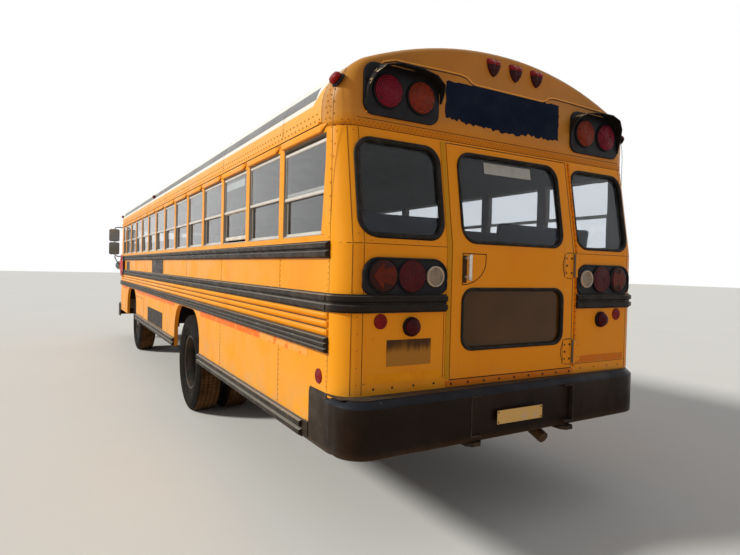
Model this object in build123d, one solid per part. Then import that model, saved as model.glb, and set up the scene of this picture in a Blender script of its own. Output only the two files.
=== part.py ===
from build123d import *
import math
import os

# School bus with a flat front. Millimetres.
# X runs forward from the rear face of the body, Y to the left, Z up from the road.
# The last step moves everything so that the origin is below the middle of the overall length.

# Overall body
BODY_LENGTH = 10650
BODY_WIDTH = 2438
ROOF_TOP = 2990
SHOULDER_DROP = 490
SHOULDER_RADIUS = 300
HEADER_DROP = 605
WALL = 45
SKIRT_BOTTOM = 620
FLOOR_TOP = 970
FLOOR_THICKNESS = 40
SILL_HEIGHT = 30
FIT_GAP = 0.3
DOOR_GAP = 6

# Rear and front faces, seen from the side
REAR_BEND_Z = 1760
REAR_LEAN = 100
REAR_CORNER_RADIUS = 150
FRONT_BEND_Z = 1350
FRONT_LEAN = 130
FRONT_CORNER_RADIUS = 280
INNER_CORNER_CUT = 60
FRONT_INNER_CUT = 140
REAR_WALL_DEPTH = 154
FRONT_WALL_DEPTH = 290
CAP_DEPTH = 300

# Axles: how far the body reaches past each of them
REAR_OVERHANG = 3770
FRONT_OVERHANG = 2080

# Wheels
TYRE_RADIUS = 524
TYRE_WIDTH = 280
TREAD_SHARE = 0.80
BEAD_SHARE = 0.72
BEAD_RADIUS = 288
TYRE_BULGE_RADIUS = 405
TYRE_SHOULDER_DROP = 45
WHEEL_SIDES = 28
REAR_TYRE_INSET = 26
DUAL_SPACING = 330
FRONT_TYRE_INSET = 229
KINGPIN_OFFSET = 150
RIM_SHEET = 11
RIM_LIP = 6
RIM_LIP_HEIGHT = 10
HUB_SIDES = 12
DISC_RADIUS = 225
DISC_BORE_RADIUS = 84
REAR_HUB_INBOARD = 95
REAR_HUB_OUTBOARD = 190
HUB_COVER = 15
FRONT_DISC_OFFSET = 66
FRONT_HUB_Y = (-45, 125)
FRONT_HUB_RADIUS = 85

# Axles and bearings
KINGPIN_RADIUS = 20
SPINDLE_RADIUS = 40
REAR_SPINDLE_RADIUS = 55
RUNNING_CLEARANCE = 0.05
AXLE_TUBE_RADIUS = 65
AXLE_HOUSING_RADIUS = 190
KNUCKLE_HALF_HEIGHT = 95
KNUCKLE_ARM = 30
AXLE_EYE_HALF_HEIGHT = 60

# Wheel arches and wheelhouses
ARCH_SIDE_CLEARANCE = 131
ARCH_TOP_CLEARANCE = 94
ARCH_CORNER_RADIUS = 340
WHEELHOUSE_CLEARANCE = 58
WHEELHOUSE_SHEET = 15

# Windows along the sides
WINDOW_PITCH = 720
FIRST_PILLAR_X = 896
PILLAR_WIDTH = 80
SILL_Z = 1797
WINDOW_TOP_DROP = 25
LOWER_SASH_SHARE = 0.476
SASH_BAR = 26
SASH_DEPTH = 34
SASH_INSET = 4
GLASS_THICKNESS = 6
GLASS_INSET = 16
FIRST_WINDOW_X = 230
DRIVER_WINDOW_SETBACK = 600
DRIVER_WINDOW_LEAST = 400

# Raised rails on the sides: bottom, top, ribs, rear end
RAIL_HEIGHT = 30
RAIL_BASE = 10
RAIL_RIBS_SLOPE = 0.12
RAILS = (
    (1667, 1761, 2, 150),
    (1379, 1479, 2, 150),
    (1154, 1242, 3, 150),
)
WRAPPED_RAIL = (1379, 1479)
WRAPPED_RAIL_END_Y = 550
WRAPPED_RAIL_HEIGHT = 24
WRAPPED_RAIL_RIBS = 2
SKIRT_RAIL_TOP = 725
SKIRT_RAIL_REAR = 460
FLUTE_BOTTOM = 1242
FLUTE_TOP = 1379
FLUTE_COUNT = 3
FLUTE_HEIGHT = 12
FLUTE_BASE = 2
DRIP_RAIL_REACH = 18
DRIP_RAIL_RISE = 20

# Emergency door in the rear face
EXIT_HINGE_Y = -530
EXIT_HINGE_X = -15
EXIT_LOW_Y = -518
EXIT_RADIUS = 1036
EXIT_BOTTOM = 985
EXIT_TOP_DROP = 17
EXIT_GLASS_HALF = 430
EXIT_LOWER_GLASS = (1146, 1514)
UPPER_GLASS_BOTTOM = 1780
UPPER_GLASS_DROP = 55
HINGE_PIN_RADIUS = 8
HINGE_KNUCKLE_RADIUS = 13.5
HINGE_HEIGHTS = ((1015, 1170), (1589, 1745))
STRAP_LENGTH = 80
STRAP_THICKNESS = 6
REAR_WINDOW_INNER_Y = 560
REAR_WINDOW_INSET = 119
REAR_WINDOW_CORNER = 100
EXIT_LOWER_CORNER = 80
HANDLE_Y = 410
HANDLE_Z = (1560, 1710)
HANDLE_REACH = 45
HANDLE_RADIUS = 10

# Entry door on the right, two leaves
ENTRY_SETBACK = 450
ENTRY_WIDTH = 900
ENTRY_BOTTOM = 395
ENTRY_TOP_DROP = 35
LEAF_THICKNESS = 40
LEAF_MEETING_GAP = 12
LEAF_STILE = 62
ENTRY_LOWER_GLASS = (560, 1240)
ENTRY_UPPER_GLASS_BOTTOM = 1330
ENTRY_UPPER_GLASS_DROP = 80
ENTRY_PIN_OFFSET = 14
ENTRY_PIN_INSET = 2
ENTRY_KNUCKLE_RADIUS = 12
ENTRY_LOWER_HINGE = 760
ENTRY_UPPER_HINGE_DROP = 170
ENTRY_KNUCKLE = 60
ENTRY_EAR = 30

# Steps
STEP_RISE = 190
STEP_DEPTH = 230
STEP_SHEET = 18

# Chassis
RAIL_OUTER_Y = 430
RAIL_FLANGE = 80
RAIL_DEPTH = 240
RAIL_WEB = 10
HORN_LENGTH = 200
HORN_HEIGHT = 60
CROSSMEMBER_SETBACK = 250
CROSSMEMBER_PITCH = 1500
CROSSMEMBER_FLANGE = 80
CROSSMEMBER_SHEET = 10
CROSSMEMBER_RISE = 60
CROSSMEMBER_TOP_DROP = 40
SPRING_INNER_Y = 436
SPRING_WIDTH = 75
SPRING_HALF_LENGTH = 600
SPRING_CAMBER = 130
SPRING_SEAT_HEIGHT = 60
SPRING_END_HEIGHT = 14
SPRING_STACK = 70
HANGER_LENGTH = 90

# Bumpers
REAR_BUMPER_REACH = 125
REAR_BUMPER_END_X = 380
FRONT_BUMPER_REACH = 150
FRONT_BUMPER_END_X = 290
BUMPER_OVERHANG = 16
REAR_BUMPER_Z = (640, 940)
FRONT_BUMPER_Z = (480, 760)
BUMPER_CORNER_RADIUS = 150
BUMPER_SHEET = 15.7
BUMPER_LID = 8
BUMPER_BEVEL = 31
TOW_EYE_RADIUS = 28
TOW_EYE_THICKNESS = 20
TOW_EYE_SETBACK = 62
TOW_EYE_WIDTH = 110
TOW_EYE_LENGTH = 170
TOW_EYE_DROP = 50

# Engine, its cover and the radiator
ENGINE_COVER_LENGTH = 1300
ENGINE_COVER_HALF = 345
ENGINE_COVER_HEIGHT = 380
ENGINE_COVER_SHEET = 12
ENGINE_COVER_CUT = 60
ENGINE_LENGTH = 870
ENGINE_HALF = 290
ENGINE_BOTTOM = 560
ENGINE_CLEARANCE = 50
ENGINE_REAR_CLEARANCE = 100
ENGINE_FOOT_LENGTH = 100
ENGINE_FOOT_SETBACK = 150
ENGINE_FOOT_HEIGHT = 60
ENGINE_FOOT_RISE = 40
RADIATOR_SETBACK = 110
RADIATOR_DEPTH = 90
RADIATOR_HALF = 325
RADIATOR_Z = (690, 1220)

# Grille and windshield
GRILLE_HALF = 480
GRILLE_Z = (800, 1180)
GRILLE_BARS = 7
GRILLE_BAR_HEIGHT = 14
GRILLE_FRAME = 25
WINDSHIELD_BOTTOM = 1400
WINDSHIELD_Y = (35, 1120)
WINDSHIELD_SETBACK = 60

# Driver's place
DASH_DEPTH = 360
DASH_DROP = 20
DASH_HEIGHT = 130
DRIVER_SEAT_SETBACK = 1230
DRIVER_SEAT_Y = 760
DRIVER_SEAT_HALF = 240
DRIVER_CUSHION = 448
DRIVER_BACK_HEIGHT = 640
DRIVER_BACK_RECLINE = 110
DRIVER_BACK_THICKNESS = 80
DRIVER_PEDESTAL = 150
STEERING_SETBACK = 590
STEERING_HEIGHT = 530
STEERING_TILT = 35
STEERING_RADIUS = 215
STEERING_RIM = 14
COLUMN_RADIUS = 22
COLUMN_FOOT_SETBACK = 405
COLUMN_FOOT_HEIGHT = 266

# Benches
FIRST_SEAT_X = 520
SEAT_PITCH = 720
SEAT_WIDTH = 960
SEAT_DEPTH = 390
SEAT_LEGROOM = 200
CUSHION_HEIGHT = 440
CUSHION_THICKNESS = 110
BACK_HEIGHT = 1000
BACK_THICKNESS = 70
BACK_RECLINE = 90
SEAT_WALL_GAP = 12
SEAT_BOARD = 26
LEG_WIDTH = 28
LEG_INSET = 80
LEG_LENGTH = 260

# Lamps: height, distances from the middle, radii
WARNING_LAMP_RISE = 210
RED_LAMP_INSET = 299
AMBER_LAMP_INSET = 519
WARNING_LAMP_RADIUS = 90
WARNING_LAMP_DEPTH = 30
HOUSING_INSET = (177, 677)
HOUSING_RISE = (75, 369)
HOUSING_PLATE = 14
HOUSING_SHEET = 8
HOOD_REACH = 95
HOOD_LIP = 60
HOOD_SLOPE = 24
TAIL_Z = 1580
TAIL_LAMPS = {"amber": (980, 90), "red": (796, 90), "clear": (640, 62)}
TAIL_PANEL_Y = (548, 1106)
TAIL_PANEL_HEIGHT = 200
TAIL_PANEL_THICKNESS = 14
TAIL_PANEL_RADIUS = 98
TAIL_LAMP_DEPTH = 14
LOW_LAMP = (780, 1300, 50, 60)
REFLECTOR = (985, 1333, 44, 12)
SIDE_REFLECTOR = (260, 1013, 42, 12)
CLEARANCE_LAMPS_Y = (-200, 0, 200)
CLEARANCE_LAMP_DROP = 120
CLEARANCE_LAMP_RADIUS = 28
CLEARANCE_LAMP_REACH = 40
MARKER_SIZE = (90, 34)
MARKER_REACH = 24
MARKER_SETBACK = 180
FRONT_MARKER_SETBACK = 280
MARKER_RISE = 178
MARKER_DEPTH = 80
HEADLAMPS_Y = (660, 860)
HEADLAMP_Z = 920
HEADLAMP_RADIUS = 85
HEADLAMP_DEPTH = 35
FRONT_TURN_LAMP = (870, 1120, 60, 25)
LENS_SIDES = 14
SMALL_LENS_SIDES = 8

# Mirrors
MIRROR_SETBACK = 250
MIRROR_Y_REACH = 141
MIRROR_TUBE_RADIUS = 12
MIRROR_TOP_DROP = 15
MIRROR_ARM_BOTTOM = 1750
MIRROR_HEAD_WIDTH = 200
MIRROR_HEAD_DEPTH = 40
MIRROR_HEAD_SHIFT = 10
MIRROR_HEADS = ((2070, 2330), (1790, 2050))
MIRROR_TUBE_SIDES = 6
ROUND_MIRROR_RADIUS = 95
ROUND_MIRROR_DEPTH = 55
ROUND_MIRROR_Z = 1560
ROUND_MIRROR_FORWARD = 300

# Stop arm on the left
STOP_HINGE_SETBACK = 425
STOP_HINGE_OFFSET = 16
STOP_SIGN_REACH = 250
STOP_SIGN_Z = 1560
STOP_SIGN_SIZE = 457
STOP_SIGN_SHEET = 8
STOP_TUBE_HALF = 50
STOP_TUBE_RADIUS = 14
STOP_EAR = 28

# Fuel tank on the right, battery box on the left
TANK_BEHIND_REAR_AXLE = 1480
TANK_LENGTH = 1300
TANK_WIDTH = 620
TANK_HEIGHT = 380
TANK_BOTTOM = 480
TANK_CORNER = 60
TANK_STRAP_SETBACK = 250
HANGER_CLEARANCE = 60
HANGER_BLOCK = (700, 790)
BATTERY_AHEAD = 710
BATTERY_LENGTH = 780
BATTERY_Y = (640, 1150)
BATTERY_Z = (560, 860)
BATTERY_BRACKET = 60
BATTERY_BRACKET_SETBACK = 120

# Drive line and exhaust
SHAFT_RADIUS = 48
SHAFT_Z = 640
SHAFT_JOINT_REACH = 330
SHAFT_SIDES = 12
EXHAUST_Y = -250
EXHAUST_Z = 640
PIPE_RADIUS = 38
PIPE_TAIL_X = -30
PIPE_BEND_X = 150
PIPE_TAIL_DROP = 90
SILENCER_LENGTH = 850
SILENCER_AHEAD = 2050
SILENCER_RADIUS = 90
PIPE_SIDES = 8
PIPE_HANGER = 20

# Values that follow
HALF_WIDTH = BODY_WIDTH / 2
INNER_HALF = HALF_WIDTH - WALL
SHOULDER_Z = ROOF_TOP - SHOULDER_DROP
HEADER_Z = ROOF_TOP - HEADER_DROP
WINDOW_TOP = HEADER_Z - WINDOW_TOP_DROP
MEETING_RAIL_Z = SILL_Z + LOWER_SASH_SHARE * (WINDOW_TOP - SILL_Z)
UPPER_GLASS_Z = (UPPER_GLASS_BOTTOM, HEADER_Z - UPPER_GLASS_DROP)
EXIT_TOP = HEADER_Z - EXIT_TOP_DROP
REAR_WINDOW_Y = (REAR_WINDOW_INNER_Y, HALF_WIDTH - REAR_WINDOW_INSET)
REAR_AXLE_X = REAR_OVERHANG
FRONT_AXLE_X = BODY_LENGTH - FRONT_OVERHANG
AXLE_Z = TYRE_RADIUS
REAR_OUTER_WHEEL_Y = HALF_WIDTH - REAR_TYRE_INSET - TYRE_WIDTH / 2
REAR_INNER_WHEEL_Y = REAR_OUTER_WHEEL_Y - DUAL_SPACING
FRONT_WHEEL_Y = HALF_WIDTH - FRONT_TYRE_INSET
KINGPIN_Y = FRONT_WHEEL_Y - KINGPIN_OFFSET
ARCH_HALF_WIDTH = TYRE_RADIUS + ARCH_SIDE_CLEARANCE
ARCH_TOP = 2 * TYRE_RADIUS + ARCH_TOP_CLEARANCE
WHEELHOUSE_INNER_Y = REAR_INNER_WHEEL_Y - TYRE_WIDTH / 2 - WHEELHOUSE_CLEARANCE
FLOOR_BOTTOM = FLOOR_TOP - FLOOR_THICKNESS
RAIL_TOP_Z = FLOOR_BOTTOM - SILL_HEIGHT
RAIL_BOTTOM_Z = RAIL_TOP_Z - RAIL_DEPTH
FRONT_SPLIT_X = BODY_LENGTH - FRONT_WALL_DEPTH
RAIL_FRONT_X = FRONT_SPLIT_X - 20
FRONT_CAP_X = BODY_LENGTH - FRONT_LEAN
DRIVER_WINDOW_FRONT = BODY_LENGTH - DRIVER_WINDOW_SETBACK
ENTRY_FRONT = BODY_LENGTH - ENTRY_SETBACK
ENTRY_REAR = ENTRY_FRONT - ENTRY_WIDTH
ENTRY_TOP = HEADER_Z - ENTRY_TOP_DROP
ENTRY_UPPER_GLASS = (ENTRY_UPPER_GLASS_BOTTOM, ENTRY_TOP - ENTRY_UPPER_GLASS_DROP)
ENTRY_HINGES = (ENTRY_LOWER_HINGE, ENTRY_TOP - ENTRY_UPPER_HINGE_DROP)
STEPS = round((FLOOR_TOP - ENTRY_BOTTOM) / STEP_RISE)
STAIR_INNER_Y = INNER_HALF - STEPS * STEP_DEPTH
CUSHION_TOP = FLOOR_TOP + CUSHION_HEIGHT
BACK_TOP = FLOOR_TOP + BACK_HEIGHT
ENGINE_COVER_REAR = BODY_LENGTH - ENGINE_COVER_LENGTH
ENGINE_COVER_TOP = FLOOR_TOP + ENGINE_COVER_HEIGHT
ENGINE_REAR = ENGINE_COVER_REAR + ENGINE_REAR_CLEARANCE
WINDSHIELD_Z = (WINDSHIELD_BOTTOM, HEADER_Z - UPPER_GLASS_DROP)
DRIVER_SEAT_X = BODY_LENGTH - DRIVER_SEAT_SETBACK
LAMP_Z = HEADER_Z + WARNING_LAMP_RISE
MIRROR_X = BODY_LENGTH - MIRROR_SETBACK
STOP_HINGE_X = BODY_LENGTH - STOP_HINGE_SETBACK
STOP_HINGE_Y = HALF_WIDTH + RAIL_HEIGHT + STOP_HINGE_OFFSET
SILENCER_FRONT = ENGINE_REAR - SILENCER_AHEAD
OVERALL_REAR = -REAR_BUMPER_REACH
OVERALL_FRONT = BODY_LENGTH + FRONT_BUMPER_REACH
ORIGIN_X = (OVERALL_REAR + OVERALL_FRONT) / 2
FAR = 20000


def block(x0, x1, y0, y1, z0, z1):
    """A box between two corners."""
    middle = Pos((x0 + x1) / 2, (y0 + y1) / 2, (z0 + z1) / 2)
    return middle * Box(x1 - x0, y1 - y0, z1 - z0)


def side_prism(points, y0, y1):
    """An outline of (x, z) points, extruded across the bus."""
    face = Plane.XZ * make_face(Polyline(*points, close=True))
    return Pos(0, y1, 0) * extrude(face, y1 - y0)


def section_prism(points, x0, x1):
    """An outline of (y, z) points, extruded along the bus."""
    face = Plane.YZ * make_face(Polyline(*points, close=True))
    return Pos(x0, 0, 0) * extrude(face, x1 - x0)


def bar(start, end, radius, sides=0):
    """A straight bar between two points: round, or with flat sides where a number is given."""
    axis = Vector(*end) - Vector(*start)
    plane = Plane(origin=start, z_dir=axis)
    section = RegularPolygon(radius, sides) if sides else Circle(radius)
    return extrude(plane * section, axis.length)


def upright(x, y, z0, z1, radius, sides=0):
    """A bar standing up."""
    return bar((x, y, z0), (x, y, z1), radius, sides)


def mirrored(shape):
    """The same shape on the other side of the bus."""
    return mirror(shape, Plane.XZ)


def joined(shapes):
    """One part out of a list of shapes."""
    return Part() + [shape for shape in shapes]


def both_sides(shape):
    """A shape and its mirror image."""
    return [shape, mirrored(shape)]


def body_section(inset):
    """The end outline of the body: straight sides, round shoulders and a shallow crown."""
    half = HALF_WIDTH - inset
    radius = SHOULDER_RADIUS - inset
    centre_y = HALF_WIDTH - SHOULDER_RADIUS
    rise = SHOULDER_DROP - inset
    crown = (centre_y**2 + rise**2 - radius**2) / (2 * (rise - radius))
    crown_z = ROOF_TOP - inset - crown
    turn = math.degrees(math.atan2(SHOULDER_Z - crown_z, centre_y))
    outline = Line((half, 0), (half, SHOULDER_Z))
    outline += CenterArc((centre_y, SHOULDER_Z), radius, 0, turn)
    outline += CenterArc((0, crown_z), crown, turn, 180 - 2 * turn)
    outline += CenterArc((-centre_y, SHOULDER_Z), radius, 180 - turn, turn)
    outline += Line((-half, SHOULDER_Z), (-half, 0))
    outline += Line((-half, 0), (half, 0))
    return Plane.YZ * make_face(outline)


def end_edges(shape, low_x, high_x):
    """The edges round one end of the body, without its bottom and the bends across it."""
    found = []
    for edge in shape.edges():
        first = edge.position_at(0)
        last = edge.position_at(1)
        at_end = low_x < first.X < high_x and low_x < last.X < high_x
        level = abs(first.Z - last.Z) < 1
        if at_end and not (level and first.Z < SHOULDER_Z):
            found.append(edge)
    return found


def body_solid(inset, round_corners=True):
    """The outside of the body, or a copy that lies further in, closed at the bottom."""
    high = ROOF_TOP + WALL
    side = [
        (inset, 0),
        (inset, REAR_BEND_Z),
        (REAR_LEAN + inset, HEADER_Z),
        (REAR_LEAN + inset, high),
        (FRONT_CAP_X - inset, high),
        (FRONT_CAP_X - inset, HEADER_Z),
        (BODY_LENGTH - inset, FRONT_BEND_Z),
        (BODY_LENGTH - inset, 0),
    ]
    solid = extrude(body_section(inset), BODY_LENGTH) & side_prism(side, -FAR, FAR)
    rear = (-1, REAR_LEAN + inset + 1)
    front = (FRONT_CAP_X - inset - 1, BODY_LENGTH + 1)
    if round_corners:
        solid = fillet(end_edges(solid, *rear), REAR_CORNER_RADIUS - inset)
        return fillet(end_edges(solid, *front), FRONT_CORNER_RADIUS - inset)
    solid = chamfer(end_edges(solid, *rear), INNER_CORNER_CUT)
    return chamfer(end_edges(solid, *front), FRONT_INNER_CUT)


OUTER = body_solid(0)
INNER = body_solid(WALL, False)
SHELL = OUTER - INNER
FITTED = body_solid(WALL + FIT_GAP, False)
GLASS_SKIN = body_solid(GLASS_INSET) - body_solid(GLASS_INSET + GLASS_THICKNESS)


def pillar_x(side):
    """Middles of the window pillars on one side, rear to front."""
    if side == "left":
        room = DRIVER_WINDOW_FRONT - DRIVER_WINDOW_LEAST - FIRST_PILLAR_X
    else:
        room = ENTRY_REAR - PILLAR_WIDTH - FIRST_PILLAR_X
    count = int(room // WINDOW_PITCH) + 1
    return [FIRST_PILLAR_X + WINDOW_PITCH * n for n in range(count)]


def windows(side):
    """The rear and front edge of each window on one side."""
    pillars = pillar_x(side)
    spans = [(FIRST_WINDOW_X, pillars[0] - PILLAR_WIDTH / 2)]
    for rear, front in zip(pillars, pillars[1:]):
        spans.append((rear + PILLAR_WIDTH / 2, front - PILLAR_WIDTH / 2))
    if side == "left":
        spans.append((pillars[-1] + PILLAR_WIDTH / 2, DRIVER_WINDOW_FRONT))
    return spans


def arch_cutter(axle_x):
    """The open space of a wheel arch, from one side of the bus to the other."""
    upper = RectangleRounded(2 * ARCH_HALF_WIDTH, 2 * (ARCH_TOP - AXLE_Z), ARCH_CORNER_RADIUS)
    lower = Pos(0, -ARCH_TOP / 2) * Rectangle(2 * ARCH_HALF_WIDTH, ARCH_TOP)
    face = Plane.XZ * (Pos(axle_x, AXLE_Z) * (upper + lower))
    return Pos(0, FAR, 0) * extrude(face, 2 * FAR)


def rib_section(y, bottom, top, ribs, height, base):
    """A rail's outline against a wall at y: a low base with ribs that taper outward."""
    pitch = (top - bottom) / ribs
    slope = pitch * RAIL_RIBS_SLOPE
    points = [(y, bottom), (y + base, bottom)]
    for n in range(ribs):
        start = bottom + n * pitch
        points.append((y + base, start + slope))
        points.append((y + height, start + 2 * slope))
        points.append((y + height, start + pitch - 2 * slope))
        points.append((y + base, start + pitch - slope))
    points.append((y + base, top))
    points.append((y, top))
    return points


def side_wall(side):
    """One side of the body, from the skirt to the header over the windows."""
    region = block(REAR_WALL_DEPTH, FRONT_SPLIT_X, 0, FAR, SKIRT_BOTTOM, HEADER_Z)
    flutes = rib_section(HALF_WIDTH, FLUTE_BOTTOM, FLUTE_TOP, FLUTE_COUNT, FLUTE_HEIGHT, FLUTE_BASE)
    wall = (SHELL & region) + section_prism(flutes, REAR_WALL_DEPTH, FRONT_SPLIT_X)
    if side == "right":
        wall = mirrored(wall) - block(ENTRY_REAR, ENTRY_FRONT, -FAR, 0, 0, ENTRY_TOP)
    for rear, front in windows(side):
        wall -= block(rear, front, -FAR, FAR, SILL_Z, WINDOW_TOP)
    return wall - arch_cutter(REAR_AXLE_X) - arch_cutter(FRONT_AXLE_X)


def exit_region(gap):
    """The space that the emergency door takes in the rear wall, grown by a gap."""
    path = upright(EXIT_HINGE_X, EXIT_HINGE_Y, 0, FAR, EXIT_RADIUS + gap)
    return path & block(-FAR, CAP_DEPTH, EXIT_LOW_Y - gap, HALF_WIDTH, EXIT_BOTTOM - gap, EXIT_TOP + gap)


def rear_opening(y_span, z_span, corner):
    """A window opening with round corners through the rear face."""
    (y0, y1), (z0, z1) = y_span, z_span
    outline = RectangleRounded(y1 - y0, z1 - z0, corner)
    face = Plane.YZ * (Pos((y0 + y1) / 2, (z0 + z1) / 2) * outline)
    return Pos(-CAP_DEPTH, 0, 0) * extrude(face, 2 * CAP_DEPTH)


def exit_openings():
    """The upper and the lower window opening of the emergency door."""
    across = (-EXIT_GLASS_HALF, EXIT_GLASS_HALF)
    upper = rear_opening(across, UPPER_GLASS_Z, REAR_WINDOW_CORNER)
    return [upper, rear_opening(across, EXIT_LOWER_GLASS, EXIT_LOWER_CORNER)]


def rear_wall():
    """The rear face with its corner posts, the doorway and the two side windows."""
    wall = SHELL & block(-FAR, REAR_WALL_DEPTH, -FAR, FAR, SKIRT_BOTTOM, HEADER_Z)
    wall -= exit_region(DOOR_GAP)
    notch = RAIL_OUTER_Y + HANGER_CLEARANCE
    wall -= block(-FAR, CAP_DEPTH, -notch, notch, 0, FLOOR_BOTTOM)
    window = rear_opening(REAR_WINDOW_Y, UPPER_GLASS_Z, REAR_WINDOW_CORNER)
    return wall - window - mirrored(window)


def exit_knuckle(low, high, radius):
    """One tube of the emergency door's hinges."""
    return upright(EXIT_HINGE_X, EXIT_HINGE_Y, low, high, radius, SMALL_LENS_SIDES)


def emergency_door():
    """The rear door: a leaf with two window openings, strap hinges and a bar handle."""
    leaf = SHELL & exit_region(0)
    for opening in exit_openings():
        leaf -= opening
    for low, high in HINGE_HEIGHTS:
        third = (high - low) / 3
        start, end = low + third, high - third
        leaf += block(-STRAP_THICKNESS, 0, EXIT_LOW_Y, EXIT_LOW_Y + STRAP_LENGTH, low, high)
        leaf += block(-STRAP_THICKNESS, -1, EXIT_HINGE_Y, EXIT_LOW_Y, start, end)
        leaf += exit_knuckle(start + FIT_GAP, end - FIT_GAP, HINGE_KNUCKLE_RADIUS)
        leaf -= upright(EXIT_HINGE_X, EXIT_HINGE_Y, low, high, HINGE_PIN_RADIUS + RUNNING_CLEARANCE)
    low, high = HANDLE_Z
    grip = bar((-HANDLE_REACH, HANDLE_Y, low), (-HANDLE_REACH, HANDLE_Y, high), HANDLE_RADIUS, PIPE_SIDES)
    for z in (low + 2 * HANDLE_RADIUS, high - 2 * HANDLE_RADIUS):
        grip += bar((-HANDLE_REACH, HANDLE_Y, z), (1, HANDLE_Y, z), HANDLE_RADIUS - 2, PIPE_SIDES)
    return leaf + grip


def exit_hinges():
    """The fixed halves of the emergency door's hinges with their pins."""
    pieces = []
    for low, high in HINGE_HEIGHTS:
        third = (high - low) / 3
        hinge = upright(EXIT_HINGE_X, EXIT_HINGE_Y, low, high, HINGE_PIN_RADIUS)
        for start, end in ((low, low + third), (high - third, high)):
            hinge += exit_knuckle(start, end, HINGE_KNUCKLE_RADIUS)
            hinge += block(EXIT_HINGE_X + 5, 0, EXIT_HINGE_Y - 16, EXIT_HINGE_Y, start, end)
        pieces.append(hinge)
    return pieces


def rear_glass():
    """The two fixed windows beside the emergency door."""
    return both_sides(GLASS_SKIN & rear_opening(REAR_WINDOW_Y, UPPER_GLASS_Z, REAR_WINDOW_CORNER))


def exit_glass():
    """The two panes of the emergency door."""
    return joined([GLASS_SKIN & opening for opening in exit_openings()])


def front_wall():
    """The flat nose below the front cap, with its windshield and grille openings."""
    wall = SHELL & block(FRONT_SPLIT_X, FAR, -FAR, FAR, SKIRT_BOTTOM, HEADER_Z)
    window = block(FRONT_SPLIT_X + WINDSHIELD_SETBACK, FAR, *WINDSHIELD_Y, *WINDSHIELD_Z)
    wall -= window
    wall -= mirrored(window)
    return wall - block(FRONT_SPLIT_X, FAR, -GRILLE_HALF, GRILLE_HALF, *GRILLE_Z)


def grille():
    """A framed air intake with level bars."""
    low, high = GRILLE_Z
    edge = GRILLE_FRAME
    half = GRILLE_HALF
    rear = BODY_LENGTH - WALL
    frame = block(rear, BODY_LENGTH, -half, half, low, high)
    frame -= block(rear, BODY_LENGTH, -half + edge, half - edge, low + edge, high - edge)
    pitch = (high - low - 2 * edge) / (GRILLE_BARS + 1)
    thickness = GRILLE_BAR_HEIGHT
    for n in range(1, GRILLE_BARS + 1):
        z = low + edge + n * pitch - thickness / 2
        frame += block(rear + 10, rear + 30, -half + edge, half - edge, z, z + thickness)
    return frame


def front_glass():
    """The two halves of the windshield, curved round the corners."""
    region = block(FRONT_SPLIT_X + WINDSHIELD_SETBACK, FAR, *WINDSHIELD_Y, *WINDSHIELD_Z)
    return both_sides(GLASS_SKIN & region)


def rear_cap():
    """The end of the roof above the rear windows."""
    return SHELL & block(-FAR, CAP_DEPTH, -FAR, FAR, HEADER_Z, FAR)


def front_cap():
    """The end of the roof above the windshield."""
    return SHELL & block(FRONT_CAP_X - CAP_DEPTH, FAR, -FAR, FAR, HEADER_Z, FAR)


def roof():
    """The long middle of the roof with its drip rails."""
    front = FRONT_CAP_X - CAP_DEPTH
    skin = SHELL & block(CAP_DEPTH, front, -FAR, FAR, HEADER_Z, FAR)
    low = HEADER_Z + DRIP_RAIL_RISE
    outer = HALF_WIDTH + DRIP_RAIL_REACH
    lip = [(HALF_WIDTH - 5, low), (outer, low + 7), (outer, low + 19), (HALF_WIDTH - 5, low + 25)]
    return joined([skin] + both_sides(section_prism(lip, CAP_DEPTH, front)))


def wheelhouse_box(axle_x, gap):
    """The block of space that one wheelhouse on the left takes, grown by a gap."""
    half = ARCH_HALF_WIDTH + 2 * WHEELHOUSE_SHEET + gap
    inner = WHEELHOUSE_INNER_Y - WHEELHOUSE_SHEET - gap
    outer = INNER_HALF - FIT_GAP + gap
    return block(axle_x - half, axle_x + half, inner, outer, RAIL_TOP_Z - gap, ARCH_TOP + 2 * WHEELHOUSE_SHEET)


def wheelhouses():
    """Sheet boxes over the wheels, open below and toward the side walls."""
    pieces = []
    half = ARCH_HALF_WIDTH + WHEELHOUSE_SHEET
    for axle_x in (REAR_AXLE_X, FRONT_AXLE_X):
        inside = block(axle_x - half, axle_x + half, WHEELHOUSE_INNER_Y, FAR, 0, ARCH_TOP + WHEELHOUSE_SHEET)
        pieces += both_sides(wheelhouse_box(axle_x, 0) - inside)
    return joined(pieces)


def floor():
    """The floor plate on cross sills, open over the wheels, the stairs and the engine."""
    plate = FITTED & block(0, FAR, -FAR, FAR, FLOOR_BOTTOM, FLOOR_TOP)
    wide = INNER_HALF - FIT_GAP
    half_sill = FLOOR_THICKNESS
    for x in pillar_x("left"):
        plate += block(x - half_sill, x + half_sill, -wide, wide, RAIL_TOP_Z, FLOOR_BOTTOM)
    for axle_x in (REAR_AXLE_X, FRONT_AXLE_X):
        for side_box in both_sides(wheelhouse_box(axle_x, FIT_GAP)):
            plate -= side_box
    well_end = STEP_SHEET + FIT_GAP
    inner = STAIR_INNER_Y - FIT_GAP
    plate -= block(ENTRY_REAR - well_end, ENTRY_FRONT + well_end, -FAR, -inner, 0, FLOOR_TOP + 1)
    return plate - block(ENGINE_COVER_REAR, FAR, -ENGINE_COVER_HALF, ENGINE_COVER_HALF, 0, FLOOR_TOP + 1)


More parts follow.
